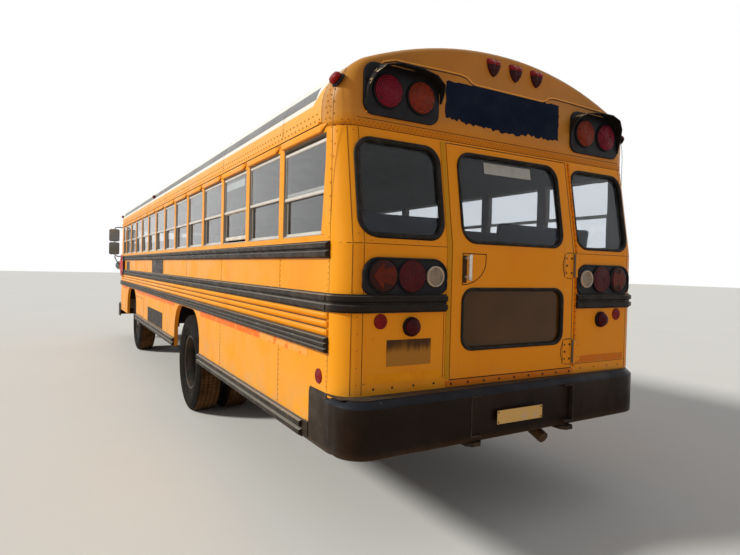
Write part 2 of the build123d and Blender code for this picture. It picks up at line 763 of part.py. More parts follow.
def step_well():
    """Bent sheet steps between two side plates, open to the doorway."""
    well = Part()
    y = -INNER_HALF + FIT_GAP
    low = FLOOR_TOP - STEPS * STEP_RISE - STEP_SHEET
    for n in range(STEPS):
        inner = -INNER_HALF + (n + 1) * STEP_DEPTH
        z = low + n * STEP_RISE
        well += block(ENTRY_REAR, ENTRY_FRONT, y, inner, z, z + STEP_SHEET)
        well += block(ENTRY_REAR, ENTRY_FRONT, inner - STEP_SHEET, inner, z, z + STEP_SHEET + STEP_RISE)
        y = inner - STEP_SHEET
    for x in (ENTRY_REAR - STEP_SHEET, ENTRY_FRONT):
        well += block(x, x + STEP_SHEET, -INNER_HALF + FIT_GAP, -STAIR_INNER_Y, low, FLOOR_TOP)
    return well


def engine_cover():
    """The cover beside the driver, open below over the engine."""
    front = BODY_LENGTH - WALL - FIT_GAP
    half = ENGINE_COVER_HALF
    sheet = ENGINE_COVER_SHEET
    rear = ENGINE_COVER_REAR
    outside = block(rear, front, -half, half, FLOOR_BOTTOM, ENGINE_COVER_TOP)
    outside = chamfer(outside.edges().filter_by(Axis.X).group_by(Axis.Z)[-1], ENGINE_COVER_CUT)
    inside = block(rear + sheet, front + 1, -half + sheet, half - sheet, 0, ENGINE_COVER_TOP - sheet)
    inside = chamfer(inside.edges().filter_by(Axis.X).group_by(Axis.Z)[-1], ENGINE_COVER_CUT)
    return outside - inside


def engine():
    """The engine as one plain block on four feet, with the radiator in front of it."""
    reach = RAIL_OUTER_Y - RAIL_WEB - FIT_GAP
    front = ENGINE_REAR + ENGINE_LENGTH
    low = RAIL_BOTTOM_Z + ENGINE_FOOT_RISE
    high = low + ENGINE_FOOT_HEIGHT
    body = block(ENGINE_REAR, front, -ENGINE_HALF, ENGINE_HALF, ENGINE_BOTTOM, ENGINE_COVER_TOP - ENGINE_CLEARANCE)
    half_foot = ENGINE_FOOT_LENGTH / 2
    for x in (ENGINE_REAR + ENGINE_FOOT_SETBACK, front - ENGINE_FOOT_SETBACK):
        body += block(x - half_foot, x + half_foot, -reach, reach, low, high)
    core_front = BODY_LENGTH - RADIATOR_SETBACK
    core = block(core_front - RADIATOR_DEPTH, core_front, -RADIATOR_HALF, RADIATOR_HALF, *RADIATOR_Z)
    core += block(core_front - RADIATOR_DEPTH, core_front, -reach, reach, low, high)
    return joined([body, core])


def tow_eye():
    """The left rear tow eye, a bored plate on a foot under the frame rail."""
    y = RAIL_OUTER_Y - RAIL_FLANGE / 2
    half = TOW_EYE_WIDTH / 2
    bottom = RAIL_BOTTOM_Z - TOW_EYE_DROP
    top = bottom + TOW_EYE_THICKNESS
    bore_x = OVERALL_REAR + TOW_EYE_SETBACK
    front = bore_x + TOW_EYE_LENGTH - half
    bevel = half / 2
    outline = [
        (bore_x - half, y - bevel), (bore_x - bevel, y - half), (front, y - half),
        (front, y + half), (bore_x - bevel, y + half), (bore_x - half, y + bevel),
    ]
    plate = Pos(0, 0, bottom) * extrude(make_face(Polyline(*outline, close=True)), TOW_EYE_THICKNESS)
    foot_half = RAIL_FLANGE / 2 - 2
    plate += block(front - foot_half, front, y - foot_half, y + foot_half, top, RAIL_BOTTOM_Z)
    return plate - upright(bore_x, y, bottom, top, TOW_EYE_RADIUS)


def frame_rails():
    """The two channel rails, with horns that carry the front bumper and tow eyes at the rear."""
    web = RAIL_WEB
    outer = RAIL_OUTER_Y
    inner = RAIL_OUTER_Y - RAIL_FLANGE
    section = [
        (inner, RAIL_BOTTOM_Z), (outer, RAIL_BOTTOM_Z), (outer, RAIL_TOP_Z), (inner, RAIL_TOP_Z),
        (inner, RAIL_TOP_Z - web), (outer - web, RAIL_TOP_Z - web),
        (outer - web, RAIL_BOTTOM_Z + web), (inner, RAIL_BOTTOM_Z + web),
    ]
    front = BODY_LENGTH - WALL - FIT_GAP
    rail = section_prism(section, OVERALL_REAR + BUMPER_SHEET, front)
    top = SKIRT_BOTTOM - FIT_GAP
    low = top - HORN_HEIGHT
    rail += block(BODY_LENGTH - HORN_LENGTH, OVERALL_FRONT - BUMPER_SHEET, inner, outer, low, top)
    rail += block(BODY_LENGTH - HORN_LENGTH, front, inner, outer, low, RAIL_BOTTOM_Z)
    return joined(both_sides(rail + tow_eye()))


def crossmember_x():
    """Places of the cross-members: evenly spaced behind the engine, and one at the nose."""
    rear = CROSSMEMBER_SETBACK
    last = ENGINE_REAR - RAIL_FLANGE
    spans = round((last - rear) / CROSSMEMBER_PITCH)
    places = [rear + (last - rear) * n / spans for n in range(spans + 1)]
    return places


def crossmembers():
    """Angle-shaped cross-members between the webs of the frame rails."""
    half = RAIL_OUTER_Y - RAIL_WEB
    low = RAIL_BOTTOM_Z + CROSSMEMBER_RISE
    high = RAIL_TOP_Z - CROSSMEMBER_TOP_DROP
    sheet = CROSSMEMBER_SHEET
    pieces = []
    for x in crossmember_x():
        flange = x + CROSSMEMBER_FLANGE
        angle = [(x, low), (flange, low), (flange, low + sheet), (x + sheet, low + sheet), (x + sheet, high), (x, high)]
        pieces.append(side_prism(angle, -half, half))
    return joined(pieces)


def bumper_block(reach, end_x, z_span, inset, lid):
    """The outside of a bumper as one block with a bevelled top, or a copy that lies further in."""
    low, high = z_span
    length = 2 * (reach + end_x - inset)
    width = BODY_WIDTH + 2 * (BUMPER_OVERHANG - inset)
    outline = RectangleRounded(length, width, BUMPER_CORNER_RADIUS - inset)
    solid = extrude(Pos(end_x, 0, low) * outline, high - lid - low)
    return chamfer(solid.faces().sort_by(Axis.Z)[-1].edges(), BUMPER_BEVEL)


def bumper(reach, end_x, z_span, forward):
    """A sheet bumper that wraps round the corners; reach and end are distances past the body's end."""
    part = bumper_block(reach, end_x, z_span, 0, 0) - bumper_block(reach, end_x, z_span, BUMPER_SHEET, BUMPER_LID)
    part &= block(-FAR, end_x, -FAR, FAR, 0, FAR)
    corner = FRONT_CORNER_RADIUS if forward else REAR_CORNER_RADIUS
    body = RectangleRounded(BODY_LENGTH, BODY_WIDTH + 2 * FIT_GAP, corner + FIT_GAP)
    part -= extrude(Pos(BODY_LENGTH / 2 - FIT_GAP, 0, 0) * body, ROOF_TOP)
    if forward:
        part = Pos(BODY_LENGTH, 0, 0) * mirror(part, Plane.YZ)
    return part


def front_axle():
    """A beam between two kingpin eyes."""
    x = FRONT_AXLE_X
    beam = block(x - 45, x + 45, -KINGPIN_Y, KINGPIN_Y, AXLE_Z - AXLE_EYE_HALF_HEIGHT, AXLE_Z + 20)
    for y in (-KINGPIN_Y, KINGPIN_Y):
        beam += upright(x, y, AXLE_Z - AXLE_EYE_HALF_HEIGHT, AXLE_Z + AXLE_EYE_HALF_HEIGHT, 48, SHAFT_SIDES)
        beam -= upright(x, y, 0, FAR, KINGPIN_RADIUS + RUNNING_CLEARANCE)
    return beam


def knuckle():
    """The left steering knuckle: a fork with its kingpin, and the spindle."""
    x = FRONT_AXLE_X
    y = KINGPIN_Y
    tall = KNUCKLE_HALF_HEIGHT
    back = y + 85
    pieces = [upright(x, y, AXLE_Z - tall, AXLE_Z + tall, KINGPIN_RADIUS)]
    for low in (AXLE_Z - tall, AXLE_Z + tall - KNUCKLE_ARM):
        pieces.append(block(x - 42, x + 42, y - 42, back, low, low + KNUCKLE_ARM))
    pieces.append(block(x - 60, x + 60, y + 60, back, AXLE_Z - tall, AXLE_Z + tall))
    pieces.append(bar((x, y + 60, AXLE_Z), (x, FRONT_WHEEL_Y + 110, AXLE_Z), SPINDLE_RADIUS))
    return joined(pieces)


def many_sided_ring(profile, sides):
    """A closed ring round the Y axis from (y, radius) points, with flat sides and one of them lowest."""
    step = 2 * math.pi / sides
    to_corner = 1 / math.cos(step / 2)
    faces = []
    for (y0, r0), (y1, r1) in zip(profile, profile[1:] + profile[:1]):
        for n in range(sides):
            start = (n - 0.5) * step
            corners = [(y0, r0, start), (y0, r0, start + step), (y1, r1, start + step), (y1, r1, start)]
            points = [
                (r * to_corner * math.sin(angle), y, -r * to_corner * math.cos(angle)) for y, r, angle in corners
            ]
            faces.append(Face(Wire.make_polygon(points, close=True)))
    return Solid(Shell(faces))


def tyre():
    """One tyre in the middle of its own axle."""
    half = TYRE_WIDTH / 2
    shoulder = TYRE_RADIUS - TYRE_SHOULDER_DROP
    right = [
        (-half * BEAD_SHARE, BEAD_RADIUS), (-half, TYRE_BULGE_RADIUS), (-half * 0.95, shoulder),
        (-half * TREAD_SHARE, TYRE_RADIUS),
    ]
    left = [(-y, radius) for y, radius in reversed(right)]
    return many_sided_ring(right + left, WHEEL_SIDES)


TYRE = tyre()


def at_axle(shape, x, y):
    """A wheel part in its place on an axle."""
    return Pos(x, y, AXLE_Z) * shape


def rim_end(centre, outboard):
    """One end of a rim: the tyre's seat, the top of the lip and its foot, as (y, radius) points."""
    edge = TYRE_WIDTH / 2 * BEAD_SHARE
    seat = BEAD_RADIUS - FIT_GAP
    sign = 1 if outboard else -1
    return [
        (centre + sign * edge, seat), (centre + sign * (edge + RIM_LIP), seat + RIM_LIP_HEIGHT),
        (centre + sign * (edge + RIM_LIP), seat - RIM_SHEET),
    ]


def front_rim(side):
    """A front rim: barrel, dished disc and hub on the spindle."""
    inner = BEAD_RADIUS - FIT_GAP - RIM_SHEET
    y = FRONT_DISC_OFFSET
    bore = DISC_BORE_RADIUS
    disc = [(y + 14, inner), (y + 26, 150), (y, bore), (y - RIM_SHEET, bore), (y, inner)]
    profile = rim_end(0, True) + disc + rim_end(0, False)[::-1]
    rim = many_sided_ring(profile, WHEEL_SIDES)
    low, high = FRONT_HUB_Y
    hub = [(low, SPINDLE_RADIUS - 5), (low, FRONT_HUB_RADIUS), (high, FRONT_HUB_RADIUS), (high, SPINDLE_RADIUS - 5)]
    hub = many_sided_ring(hub, HUB_SIDES)
    hub -= bar((0, -FAR, 0), (0, FAR, 0), SPINDLE_RADIUS + RUNNING_CLEARANCE)
    wheel = at_axle(rim + hub, FRONT_AXLE_X, FRONT_WHEEL_Y)
    return wheel if side == "left" else mirrored(wheel)


def rear_tyres(side):
    """The pair of rear tyres on one side."""
    pair = [at_axle(TYRE, REAR_AXLE_X, y) for y in (REAR_OUTER_WHEEL_Y, REAR_INNER_WHEEL_Y)]
    return joined(pair if side == "left" else [mirrored(one) for one in pair])


def rear_rims(side):
    """The pair of rear rims on one hub, each dished toward the other."""
    outer = REAR_OUTER_WHEEL_Y
    inner = REAR_INNER_WHEEL_Y
    middle = (outer + inner) / 2
    edge = TYRE_WIDTH / 2 * BEAD_SHARE
    seat = BEAD_RADIUS - FIT_GAP
    inside = seat - 1.5 * RIM_SHEET
    disc = 1.3 * RIM_SHEET
    outside_half = [
        (outer - edge + 20, inside), (middle + disc, DISC_RADIUS), (middle + disc, DISC_BORE_RADIUS),
    ]
    inside_half = [(2 * middle - y, radius) for y, radius in reversed(outside_half)]
    valley = [(inner + edge, seat), (middle, DISC_RADIUS + 2 * RIM_SHEET), (outer - edge, seat)]
    profile = rim_end(outer, True) + outside_half + inside_half + rim_end(inner, False)[::-1] + valley
    bore = REAR_SPINDLE_RADIUS + RUNNING_CLEARANCE
    start, end = middle - REAR_HUB_INBOARD, middle + REAR_HUB_OUTBOARD
    hub = [(start, bore - 5), (start, 110), (middle, 110), (end, 80), (end, bore - 5)]
    hub = many_sided_ring(hub, HUB_SIDES) - bar((0, start - 1, 0), (0, end - HUB_COVER, 0), bore)
    cover = bar((0, end - HUB_COVER, 0), (0, end, 0), bore, HUB_SIDES)
    wheel = at_axle(joined([many_sided_ring(profile, WHEEL_SIDES), hub, cover]), REAR_AXLE_X, 0)
    return wheel if side == "left" else mirrored(wheel)


def rear_axle():
    """The driven axle: a tube with a round centre housing and spindles."""
    middle = (REAR_OUTER_WHEEL_Y + REAR_INNER_WHEEL_Y) / 2
    x = REAR_AXLE_X
    end = middle + REAR_HUB_OUTBOARD - 2 * HUB_COVER - 10
    axle = bar((x, -end, AXLE_Z), (x, end, AXLE_Z), REAR_SPINDLE_RADIUS)
    tube_end = middle - REAR_HUB_INBOARD - DOOR_GAP
    axle += bar((x, -tube_end, AXLE_Z), (x, tube_end, AXLE_Z), AXLE_TUBE_RADIUS, SHAFT_SIDES)
    axle += bar((x, -75, AXLE_Z), (x, 75, AXLE_Z), AXLE_HOUSING_RADIUS, HUB_SIDES)
    low = AXLE_Z - SHAFT_RADIUS
    return axle + block(x, x + SHAFT_JOINT_REACH, -90, 90, low, low + AXLE_HOUSING_RADIUS)


def leaf_spring(x, seat_z):
    """A leaf spring on the left over an axle, with its saddle and two hangers on the frame rail."""
    y0 = SPRING_INNER_Y
    y1 = y0 + SPRING_WIDTH
    middle = seat_z + SPRING_SEAT_HEIGHT
    end_z = seat_z + SPRING_CAMBER + SPRING_END_HEIGHT
    half = SPRING_HALF_LENGTH
    stack = [
        (x - half, end_z), (x - half / 2, middle), (x + half / 2, middle), (x + half, end_z),
        (x + half, end_z + SPRING_END_HEIGHT), (x + half / 2, middle + SPRING_END_HEIGHT),
        (x + 70, middle + SPRING_STACK), (x - 70, middle + SPRING_STACK),
        (x - half / 2, middle + SPRING_END_HEIGHT), (x - half, end_z + SPRING_END_HEIGHT),
    ]
    spring = side_prism(stack, y0, y1) + block(x - 70, x + 70, y0, y1, seat_z, middle + 1)
    for hanger_x in (x - half, x + half):
        start = hanger_x - HANGER_LENGTH / 2
        spring += block(start, start + HANGER_LENGTH, RAIL_OUTER_Y, y1, end_z - 10, end_z + 60)
    return spring


def leaf_springs():
    """Four springs, one at each end of both axles."""
    rear = leaf_spring(REAR_AXLE_X, AXLE_Z + AXLE_TUBE_RADIUS + FIT_GAP)
    front = leaf_spring(FRONT_AXLE_X, AXLE_Z + 20)
    return joined(both_sides(rear) + both_sides(front))


def driveshaft():
    """The shaft from the engine back to the rear axle, in two lengths with a centre bearing."""
    places = crossmember_x()
    bearing_x = places[len(places) // 2 + 1]
    rear = (REAR_AXLE_X + SHAFT_JOINT_REACH + FIT_GAP, 0, SHAFT_Z)
    shaft = bar(rear, (ENGINE_REAR - FIT_GAP, 0, SHAFT_Z), SHAFT_RADIUS, SHAFT_SIDES)
    low = RAIL_BOTTOM_Z + CROSSMEMBER_RISE
    return shaft + block(bearing_x, bearing_x + SHAFT_RADIUS, -SHAFT_RADIUS, SHAFT_RADIUS, SHAFT_Z, low)


def bench_rows():
    """The place of each bench row's back along the bus."""
    room = ENTRY_REAR - SEAT_DEPTH - SEAT_LEGROOM - FIRST_SEAT_X
    return [FIRST_SEAT_X + SEAT_PITCH * n for n in range(int(room // SEAT_PITCH) + 1)]


def seat_back(x, y0, y1, rise, recline, thickness):
    """The slab of a seat's back, leaning rearward."""
    low = CUSHION_TOP - CUSHION_THICKNESS
    high = CUSHION_TOP + rise
    points = [(x, low), (x - recline, high), (x - recline - thickness, high), (x - thickness, low)]
    return side_prism(points, y0, y1)


def seat_backs():
    """Backs of all benches and of the driver's seat."""
    wide = INNER_HALF - SEAT_WALL_GAP
    rise = BACK_TOP - CUSHION_TOP
    backs = []
    for x in bench_rows():
        backs += both_sides(seat_back(x, wide - SEAT_WIDTH, wide, rise, BACK_RECLINE, BACK_THICKNESS))
    low_y = DRIVER_SEAT_Y - DRIVER_SEAT_HALF
    high_y = DRIVER_SEAT_Y + DRIVER_SEAT_HALF
    thickness = DRIVER_BACK_THICKNESS
    backs.append(seat_back(DRIVER_SEAT_X, low_y, high_y, DRIVER_BACK_HEIGHT, DRIVER_BACK_RECLINE, thickness))
    return joined(backs)


def seat_cushions():
    """Cushions of all benches and of the driver's seat."""
    wide = INNER_HALF - SEAT_WALL_GAP
    low = CUSHION_TOP - CUSHION_THICKNESS
    cushions = []
    for x in bench_rows():
        cushions += both_sides(block(x + 2, x + 2 + SEAT_DEPTH, wide - SEAT_WIDTH, wide, low, CUSHION_TOP))
    y = DRIVER_SEAT_Y
    half = DRIVER_SEAT_HALF
    cushions.append(block(DRIVER_SEAT_X + 2, DRIVER_SEAT_X + DRIVER_CUSHION, y - half, y + half, low, CUSHION_TOP))
    return joined(cushions)


def seat_boards():
    """The boards that carry the cushions and the backs."""
    wide = INNER_HALF - SEAT_WALL_GAP
    top = CUSHION_TOP - CUSHION_THICKNESS - FIT_GAP
    pieces = []
    for x in bench_rows():
        inner = wide - SEAT_WIDTH + LEG_INSET
        pieces += both_sides(block(x - BACK_THICKNESS, x + SEAT_DEPTH, inner, wide, top - SEAT_BOARD, top))
    y0 = DRIVER_SEAT_Y - DRIVER_SEAT_HALF + LEG_WIDTH
    y1 = DRIVER_SEAT_Y + DRIVER_SEAT_HALF - LEG_WIDTH
    x = DRIVER_SEAT_X
    pieces.append(block(x - BACK_THICKNESS, x + SEAT_DEPTH, y0, y1, top - SEAT_BOARD, top))
    return joined(pieces)


def seat_legs():
    """One leg panel near the aisle under each bench, and the driver's pedestal."""
    wide = INNER_HALF - SEAT_WALL_GAP
    top = CUSHION_TOP - CUSHION_THICKNESS - FIT_GAP - SEAT_BOARD
    y = wide - SEAT_WIDTH + LEG_INSET
    start = (SEAT_DEPTH - LEG_LENGTH) / 2
    pieces = []
    for x in bench_rows():
        leg = block(x + start, x + start + LEG_LENGTH, y, y + LEG_WIDTH, FLOOR_TOP, top)
        pieces += both_sides(leg)
    x = DRIVER_SEAT_X + start
    half = DRIVER_PEDESTAL
    pieces.append(block(x, x + LEG_LENGTH, DRIVER_SEAT_Y - half, DRIVER_SEAT_Y + half, FLOOR_TOP, top))
    return joined(pieces)


def dashboard():
    """The panel under the windshield, from the engine cover to the left wall."""
    rear = BODY_LENGTH - DASH_DEPTH
    high = WINDSHIELD_BOTTOM - 5
    low = high - DASH_DROP - DASH_HEIGHT
    points = [
        (rear, high - DASH_DROP), (rear + 60, low), (BODY_LENGTH, low), (BODY_LENGTH, high), (rear + 120, high),
    ]
    panel = side_prism(points, -ENGINE_COVER_HALF, FAR) & FITTED
    half = ENGINE_COVER_HALF + FIT_GAP
    return panel - block(0, FAR, -half, half, 0, ENGINE_COVER_TOP + FIT_GAP)


def steering_wheel():
    """A rim with two spokes on its column."""
    centre = (BODY_LENGTH - STEERING_SETBACK, DRIVER_SEAT_Y, FLOOR_TOP + STEERING_HEIGHT)
    foot = (BODY_LENGTH - COLUMN_FOOT_SETBACK, DRIVER_SEAT_Y, FLOOR_TOP + COLUMN_FOOT_HEIGHT)
    turn = [math.radians(60 * n) for n in range(6)]
    section = [(STEERING_RIM * math.sin(a), STEERING_RADIUS + STEERING_RIM * math.cos(a)) for a in turn]
    tilt = Pos(*centre) * Rot(0, STEERING_TILT, 0)
    wheel = tilt * Rot(90, 0, 0) * many_sided_ring(section, WHEEL_SIDES // 2)
    wheel += tilt * Box(2 * STEERING_RIM, 2 * STEERING_RADIUS, STEERING_RIM)
    wheel += bar(foot, centre, COLUMN_RADIUS, PIPE_SIDES)
    return wheel + upright(foot[0], foot[1], FLOOR_TOP, foot[2] + COLUMN_RADIUS / 2, COLUMN_RADIUS, PIPE_SIDES)


def sash(rear, front):
    """One side window's frame with its meeting rail, on the left."""
    y1 = HALF_WIDTH - SASH_INSET
    y0 = y1 - SASH_DEPTH
    edge = SASH_BAR
    frame = block(rear, front, y0, y1, SILL_Z, WINDOW_TOP)
    for low, high in pane_heights():
        frame -= block(rear + edge, front - edge, y0 - 1, y1 + 1, low, high)
    return frame


def pane_heights():
    """Bottom and top of the lower and the upper pane."""
    half = SASH_BAR / 2
    return (SILL_Z + SASH_BAR, MEETING_RAIL_Z - half), (MEETING_RAIL_Z + half, WINDOW_TOP - SASH_BAR)


def window_sashes():
    """The frames of all side windows."""
    frames = [sash(*span) for span in windows("left")]
    frames += [mirrored(sash(*span)) for span in windows("right")]
    return joined(frames)


def side_panes(rear, front):
    """The two panes of one side window, on the left."""
    y = HALF_WIDTH - SASH_INSET - SASH_DEPTH / 2 - GLASS_THICKNESS / 2
    x0, x1 = rear + SASH_BAR, front - SASH_BAR
    return [block(x0, x1, y, y + GLASS_THICKNESS, low, high) for low, high in pane_heights()]


def body_glass():
    """All fixed and sliding panes of the body."""
    panes = rear_glass() + front_glass()
    for span in windows("left"):
        panes += side_panes(*span)
    for span in windows("right"):
        panes += [mirrored(pane) for pane in side_panes(*span)]
    return joined(panes)


def wrapped_rail():
    """The length of rail that turns the left rear corner and ends beside the emergency door."""
    radius = REAR_CORNER_RADIUS
    wide = HALF_WIDTH - radius
    section = rib_section(0, *WRAPPED_RAIL, WRAPPED_RAIL_RIBS, WRAPPED_RAIL_HEIGHT, RAIL_BASE)
    across = side_prism([(-out, z) for out, z in section], WRAPPED_RAIL_END_Y, wide)
    start = Plane.YZ * make_face(Polyline(*[(HALF_WIDTH + out, z) for out, z in section], close=True))
    return across + revolve(Pos(radius, 0, 0) * start, Axis((radius, wide, 0), (0, 0, 1)), 90)


def rail_pieces(side):
    """Rub rails of one side, stopped at the arches and at the entry door."""
    pieces = [wrapped_rail()]
    for low, high, ribs, rear in RAILS:
        pieces.append(section_prism(rib_section(HALF_WIDTH, low, high, ribs, RAIL_HEIGHT, RAIL_BASE), rear, RAIL_FRONT_X))
    skirt = rib_section(HALF_WIDTH, SKIRT_BOTTOM, SKIRT_RAIL_TOP, 2, RAIL_HEIGHT, RAIL_BASE)
    pieces.append(section_prism(skirt, SKIRT_RAIL_REAR, REAR_AXLE_X - ARCH_HALF_WIDTH))
    pieces.append(section_prism(skirt, REAR_AXLE_X + ARCH_HALF_WIDTH, FRONT_AXLE_X - ARCH_HALF_WIDTH))
    if side == "left":
        return pieces
    ear_room = ENTRY_EAR + 15
    doorway = block(ENTRY_REAR - ear_room, ENTRY_FRONT + ear_room, -FAR, 0, 0, ENTRY_TOP)
    return [mirrored(piece) - doorway for piece in pieces]


def rub_rails():
    """The black ribbed rails along both sides."""
    return joined(rail_pieces("left") + rail_pieces("right"))


def leaf_span(front_leaf):
    """The rear edge, front edge and hinge line of one leaf of the entry door."""
    middle = (ENTRY_REAR + ENTRY_FRONT) / 2
    if front_leaf:
        return middle + LEAF_MEETING_GAP / 2, ENTRY_FRONT - DOOR_GAP, ENTRY_FRONT - ENTRY_PIN_INSET
    return ENTRY_REAR + DOOR_GAP, middle - LEAF_MEETING_GAP / 2, ENTRY_REAR + ENTRY_PIN_INSET


def entry_leaf(front_leaf):
    """One leaf of the entry door with its window openings and hinge ears."""
    low_x, high_x, pin_x = leaf_span(front_leaf)
    y0 = -HALF_WIDTH
    y1 = y0 + LEAF_THICKNESS
    leaf = block(low_x, high_x, y0, y1, ENTRY_BOTTOM, ENTRY_TOP - DOOR_GAP)
    for z_span in (ENTRY_LOWER_GLASS, ENTRY_UPPER_GLASS):
        leaf -= block(low_x + LEAF_STILE, high_x - LEAF_STILE, y0 - 1, y1 + 1, *z_span)
    pin_y = y0 - ENTRY_PIN_OFFSET
    ear_x = sorted((pin_x, high_x - ENTRY_EAR if front_leaf else low_x + ENTRY_EAR))
    for z in ENTRY_HINGES:
        low, high = z + FIT_GAP, z + ENTRY_KNUCKLE
        ear = block(*ear_x, pin_y - 4, y0, low, high)
        ear += upright(pin_x, pin_y, low, high, ENTRY_KNUCKLE_RADIUS, SMALL_LENS_SIDES)
        leaf += ear - upright(pin_x, pin_y, low - 1, high + 1, HINGE_PIN_RADIUS + RUNNING_CLEARANCE)
    return leaf


def entry_hinges():
    """Fixed halves of the entry door's lift-off hinges: a foot on the jamb with an upright pin."""
    pieces = []
    pin_y = -HALF_WIDTH - ENTRY_PIN_OFFSET
    for front_leaf, out in ((True, 1), (False, -1)):
        pin_x = leaf_span(front_leaf)[2]
        foot_x = sorted((pin_x + out * ENTRY_PIN_INSET, pin_x + out * (ENTRY_EAR + 10)))
        for z in ENTRY_HINGES:
            low = z - ENTRY_KNUCKLE / 2
            hinge = upright(pin_x, pin_y, low, z + ENTRY_KNUCKLE, HINGE_PIN_RADIUS)
            hinge += upright(pin_x, pin_y, low, z, ENTRY_KNUCKLE_RADIUS, SMALL_LENS_SIDES)
            pieces.append(hinge + block(*foot_x, pin_y - 4, -HALF_WIDTH, low, z))
    return pieces


def entry_glass(front_leaf):
    """The two panes of one entry leaf."""
    low_x, high_x, pin_x = leaf_span(front_leaf)
    y = -HALF_WIDTH + LEAF_THICKNESS / 2 - GLASS_THICKNESS / 2
    x0, x1 = low_x + LEAF_STILE, high_x - LEAF_STILE
    spans = (ENTRY_LOWER_GLASS, ENTRY_UPPER_GLASS)
    return joined([block(x0, x1, y, y + GLASS_THICKNESS, *z_span) for z_span in spans])


def at_both_ends(shape):
    """A piece of the rear cap on both sides, and the same on the front cap."""
    front = Pos(FRONT_CAP_X + REAR_LEAN, 0, 0) * mirror(shape, Plane.YZ)
    return both_sides(shape) + both_sides(front)


def lamp_housings():
    """Hooded plates behind the warning lamps and flat panels behind the tail lamps."""
    face_x = REAR_LEAN - FIT_GAP
    low_y, high_y = (HALF_WIDTH - HOUSING_INSET[1], HALF_WIDTH - HOUSING_INSET[0])
    low, high = (HEADER_Z + rise for rise in HOUSING_RISE)
    plate_x = face_x - HOUSING_PLATE
    tip_x = plate_x - HOOD_REACH
    sheet = HOUSING_SHEET
    housing = block(plate_x, face_x, low_y, high_y, low, high)
    top = [(plate_x, high), (tip_x, high - HOOD_SLOPE), (tip_x, high - HOOD_SLOPE - sheet), (plate_x, high - sheet)]
    cheek = [(plate_x, high), (tip_x, high - HOOD_SLOPE), (tip_x, high - HOOD_LIP), (plate_x, low)]
    housing += side_prism(top, low_y, high_y)
    housing += side_prism(cheek, low_y, low_y + sheet)
    housing += side_prism(cheek, high_y - sheet, high_y)
    housing += block(plate_x - HOOD_LIP / 2, plate_x, low_y, high_y, low, low + sheet)
    y0, y1 = TAIL_PANEL_Y
    outline = RectangleRounded(y1 - y0, TAIL_PANEL_HEIGHT, TAIL_PANEL_RADIUS)
    panel = Plane.YZ * (Pos((y0 + y1) / 2, TAIL_Z) * outline)
    panel = Pos(-TAIL_PANEL_THICKNESS, 0, 0) * extrude(panel, TAIL_PANEL_THICKNESS - FIT_GAP)
    return joined(at_both_ends(housing) + both_sides(panel))


def lens_on(surface_x, y, z, radius, depth, sides=SMALL_LENS_SIDES):
    """A round lens that stands on a rear surface, on both sides."""
    return both_sides(bar((surface_x - depth, y, z), (surface_x - FIT_GAP, y, z), radius, sides))


def tail_lenses(colour):
    """The tail lenses of one colour on their panels."""
    y, radius = TAIL_LAMPS[colour]
    return lens_on(-TAIL_PANEL_THICKNESS, y, TAIL_Z, radius, TAIL_LAMP_DEPTH, LENS_SIDES)


def warning_lenses(inset):
    """Four round lenses in the hooded housings."""
    surface = REAR_LEAN - HOUSING_PLATE - FIT_GAP
    y = HALF_WIDTH - inset
    start = (surface - WARNING_LAMP_DEPTH, y, LAMP_Z)
    return at_both_ends(bar(start, (surface - FIT_GAP, y, LAMP_Z), WARNING_LAMP_RADIUS, LENS_SIDES))


def marker_lenses(x):
    """Small marker lamps on both sides of the roof's edge."""
    length, height = MARKER_SIZE
    low = HEADER_Z + MARKER_RISE
    inner, outer = HALF_WIDTH - MARKER_DEPTH, HALF_WIDTH + MARKER_REACH
    return both_sides(block(x - length / 2, x + length / 2, inner, outer, low, low + height) - OUTER)


def lamps_red():
    """Red warning, tail, marker and reflector lenses."""
    lamps = warning_lenses(RED_LAMP_INSET) + tail_lenses("red")
    for y in CLEARANCE_LAMPS_Y:
        z = ROOF_TOP - CLEARANCE_LAMP_DROP
        lens = bar((REAR_LEAN - CLEARANCE_LAMP_REACH, y, z), (REAR_LEAN + WALL, y, z), CLEARANCE_LAMP_RADIUS, PIPE_SIDES)
        lamps.append(lens - OUTER)
    y, z, radius, depth = LOW_LAMP
    lamps += lens_on(0, y, z, radius, depth, LENS_SIDES)
    y, z, radius, depth = REFLECTOR
    lamps += lens_on(0, y, z, radius, depth)
    x, z, radius, depth = SIDE_REFLECTOR
    start = (x, HALF_WIDTH + FIT_GAP, z)
    lamps += both_sides(bar(start, (x, HALF_WIDTH + depth, z), radius, SMALL_LENS_SIDES))
    return joined(lamps + marker_lenses(MARKER_SETBACK))


def lamps_amber():
    """Amber warning, turn and marker lenses."""
    lamps = warning_lenses(AMBER_LAMP_INSET) + tail_lenses("amber")
    y, z, radius, depth = FRONT_TURN_LAMP
    start = (BODY_LENGTH + FIT_GAP, y, z)
    lamps += both_sides(bar(start, (BODY_LENGTH + depth, y, z), radius, SMALL_LENS_SIDES))
    middle = (REAR_AXLE_X + FRONT_AXLE_X) / 2
    return joined(lamps + marker_lenses(middle) + marker_lenses(BODY_LENGTH - FRONT_MARKER_SETBACK))


def lamps_clear():
    """Clear reverse lamps and headlamps."""
    lamps = tail_lenses("clear")
    for y in HEADLAMPS_Y:
        start = (BODY_LENGTH + FIT_GAP, y, HEADLAMP_Z)
        end = (BODY_LENGTH + HEADLAMP_DEPTH, y, HEADLAMP_Z)
        lamps += both_sides(bar(start, end, HEADLAMP_RADIUS, LENS_SIDES))
    return joined(lamps)


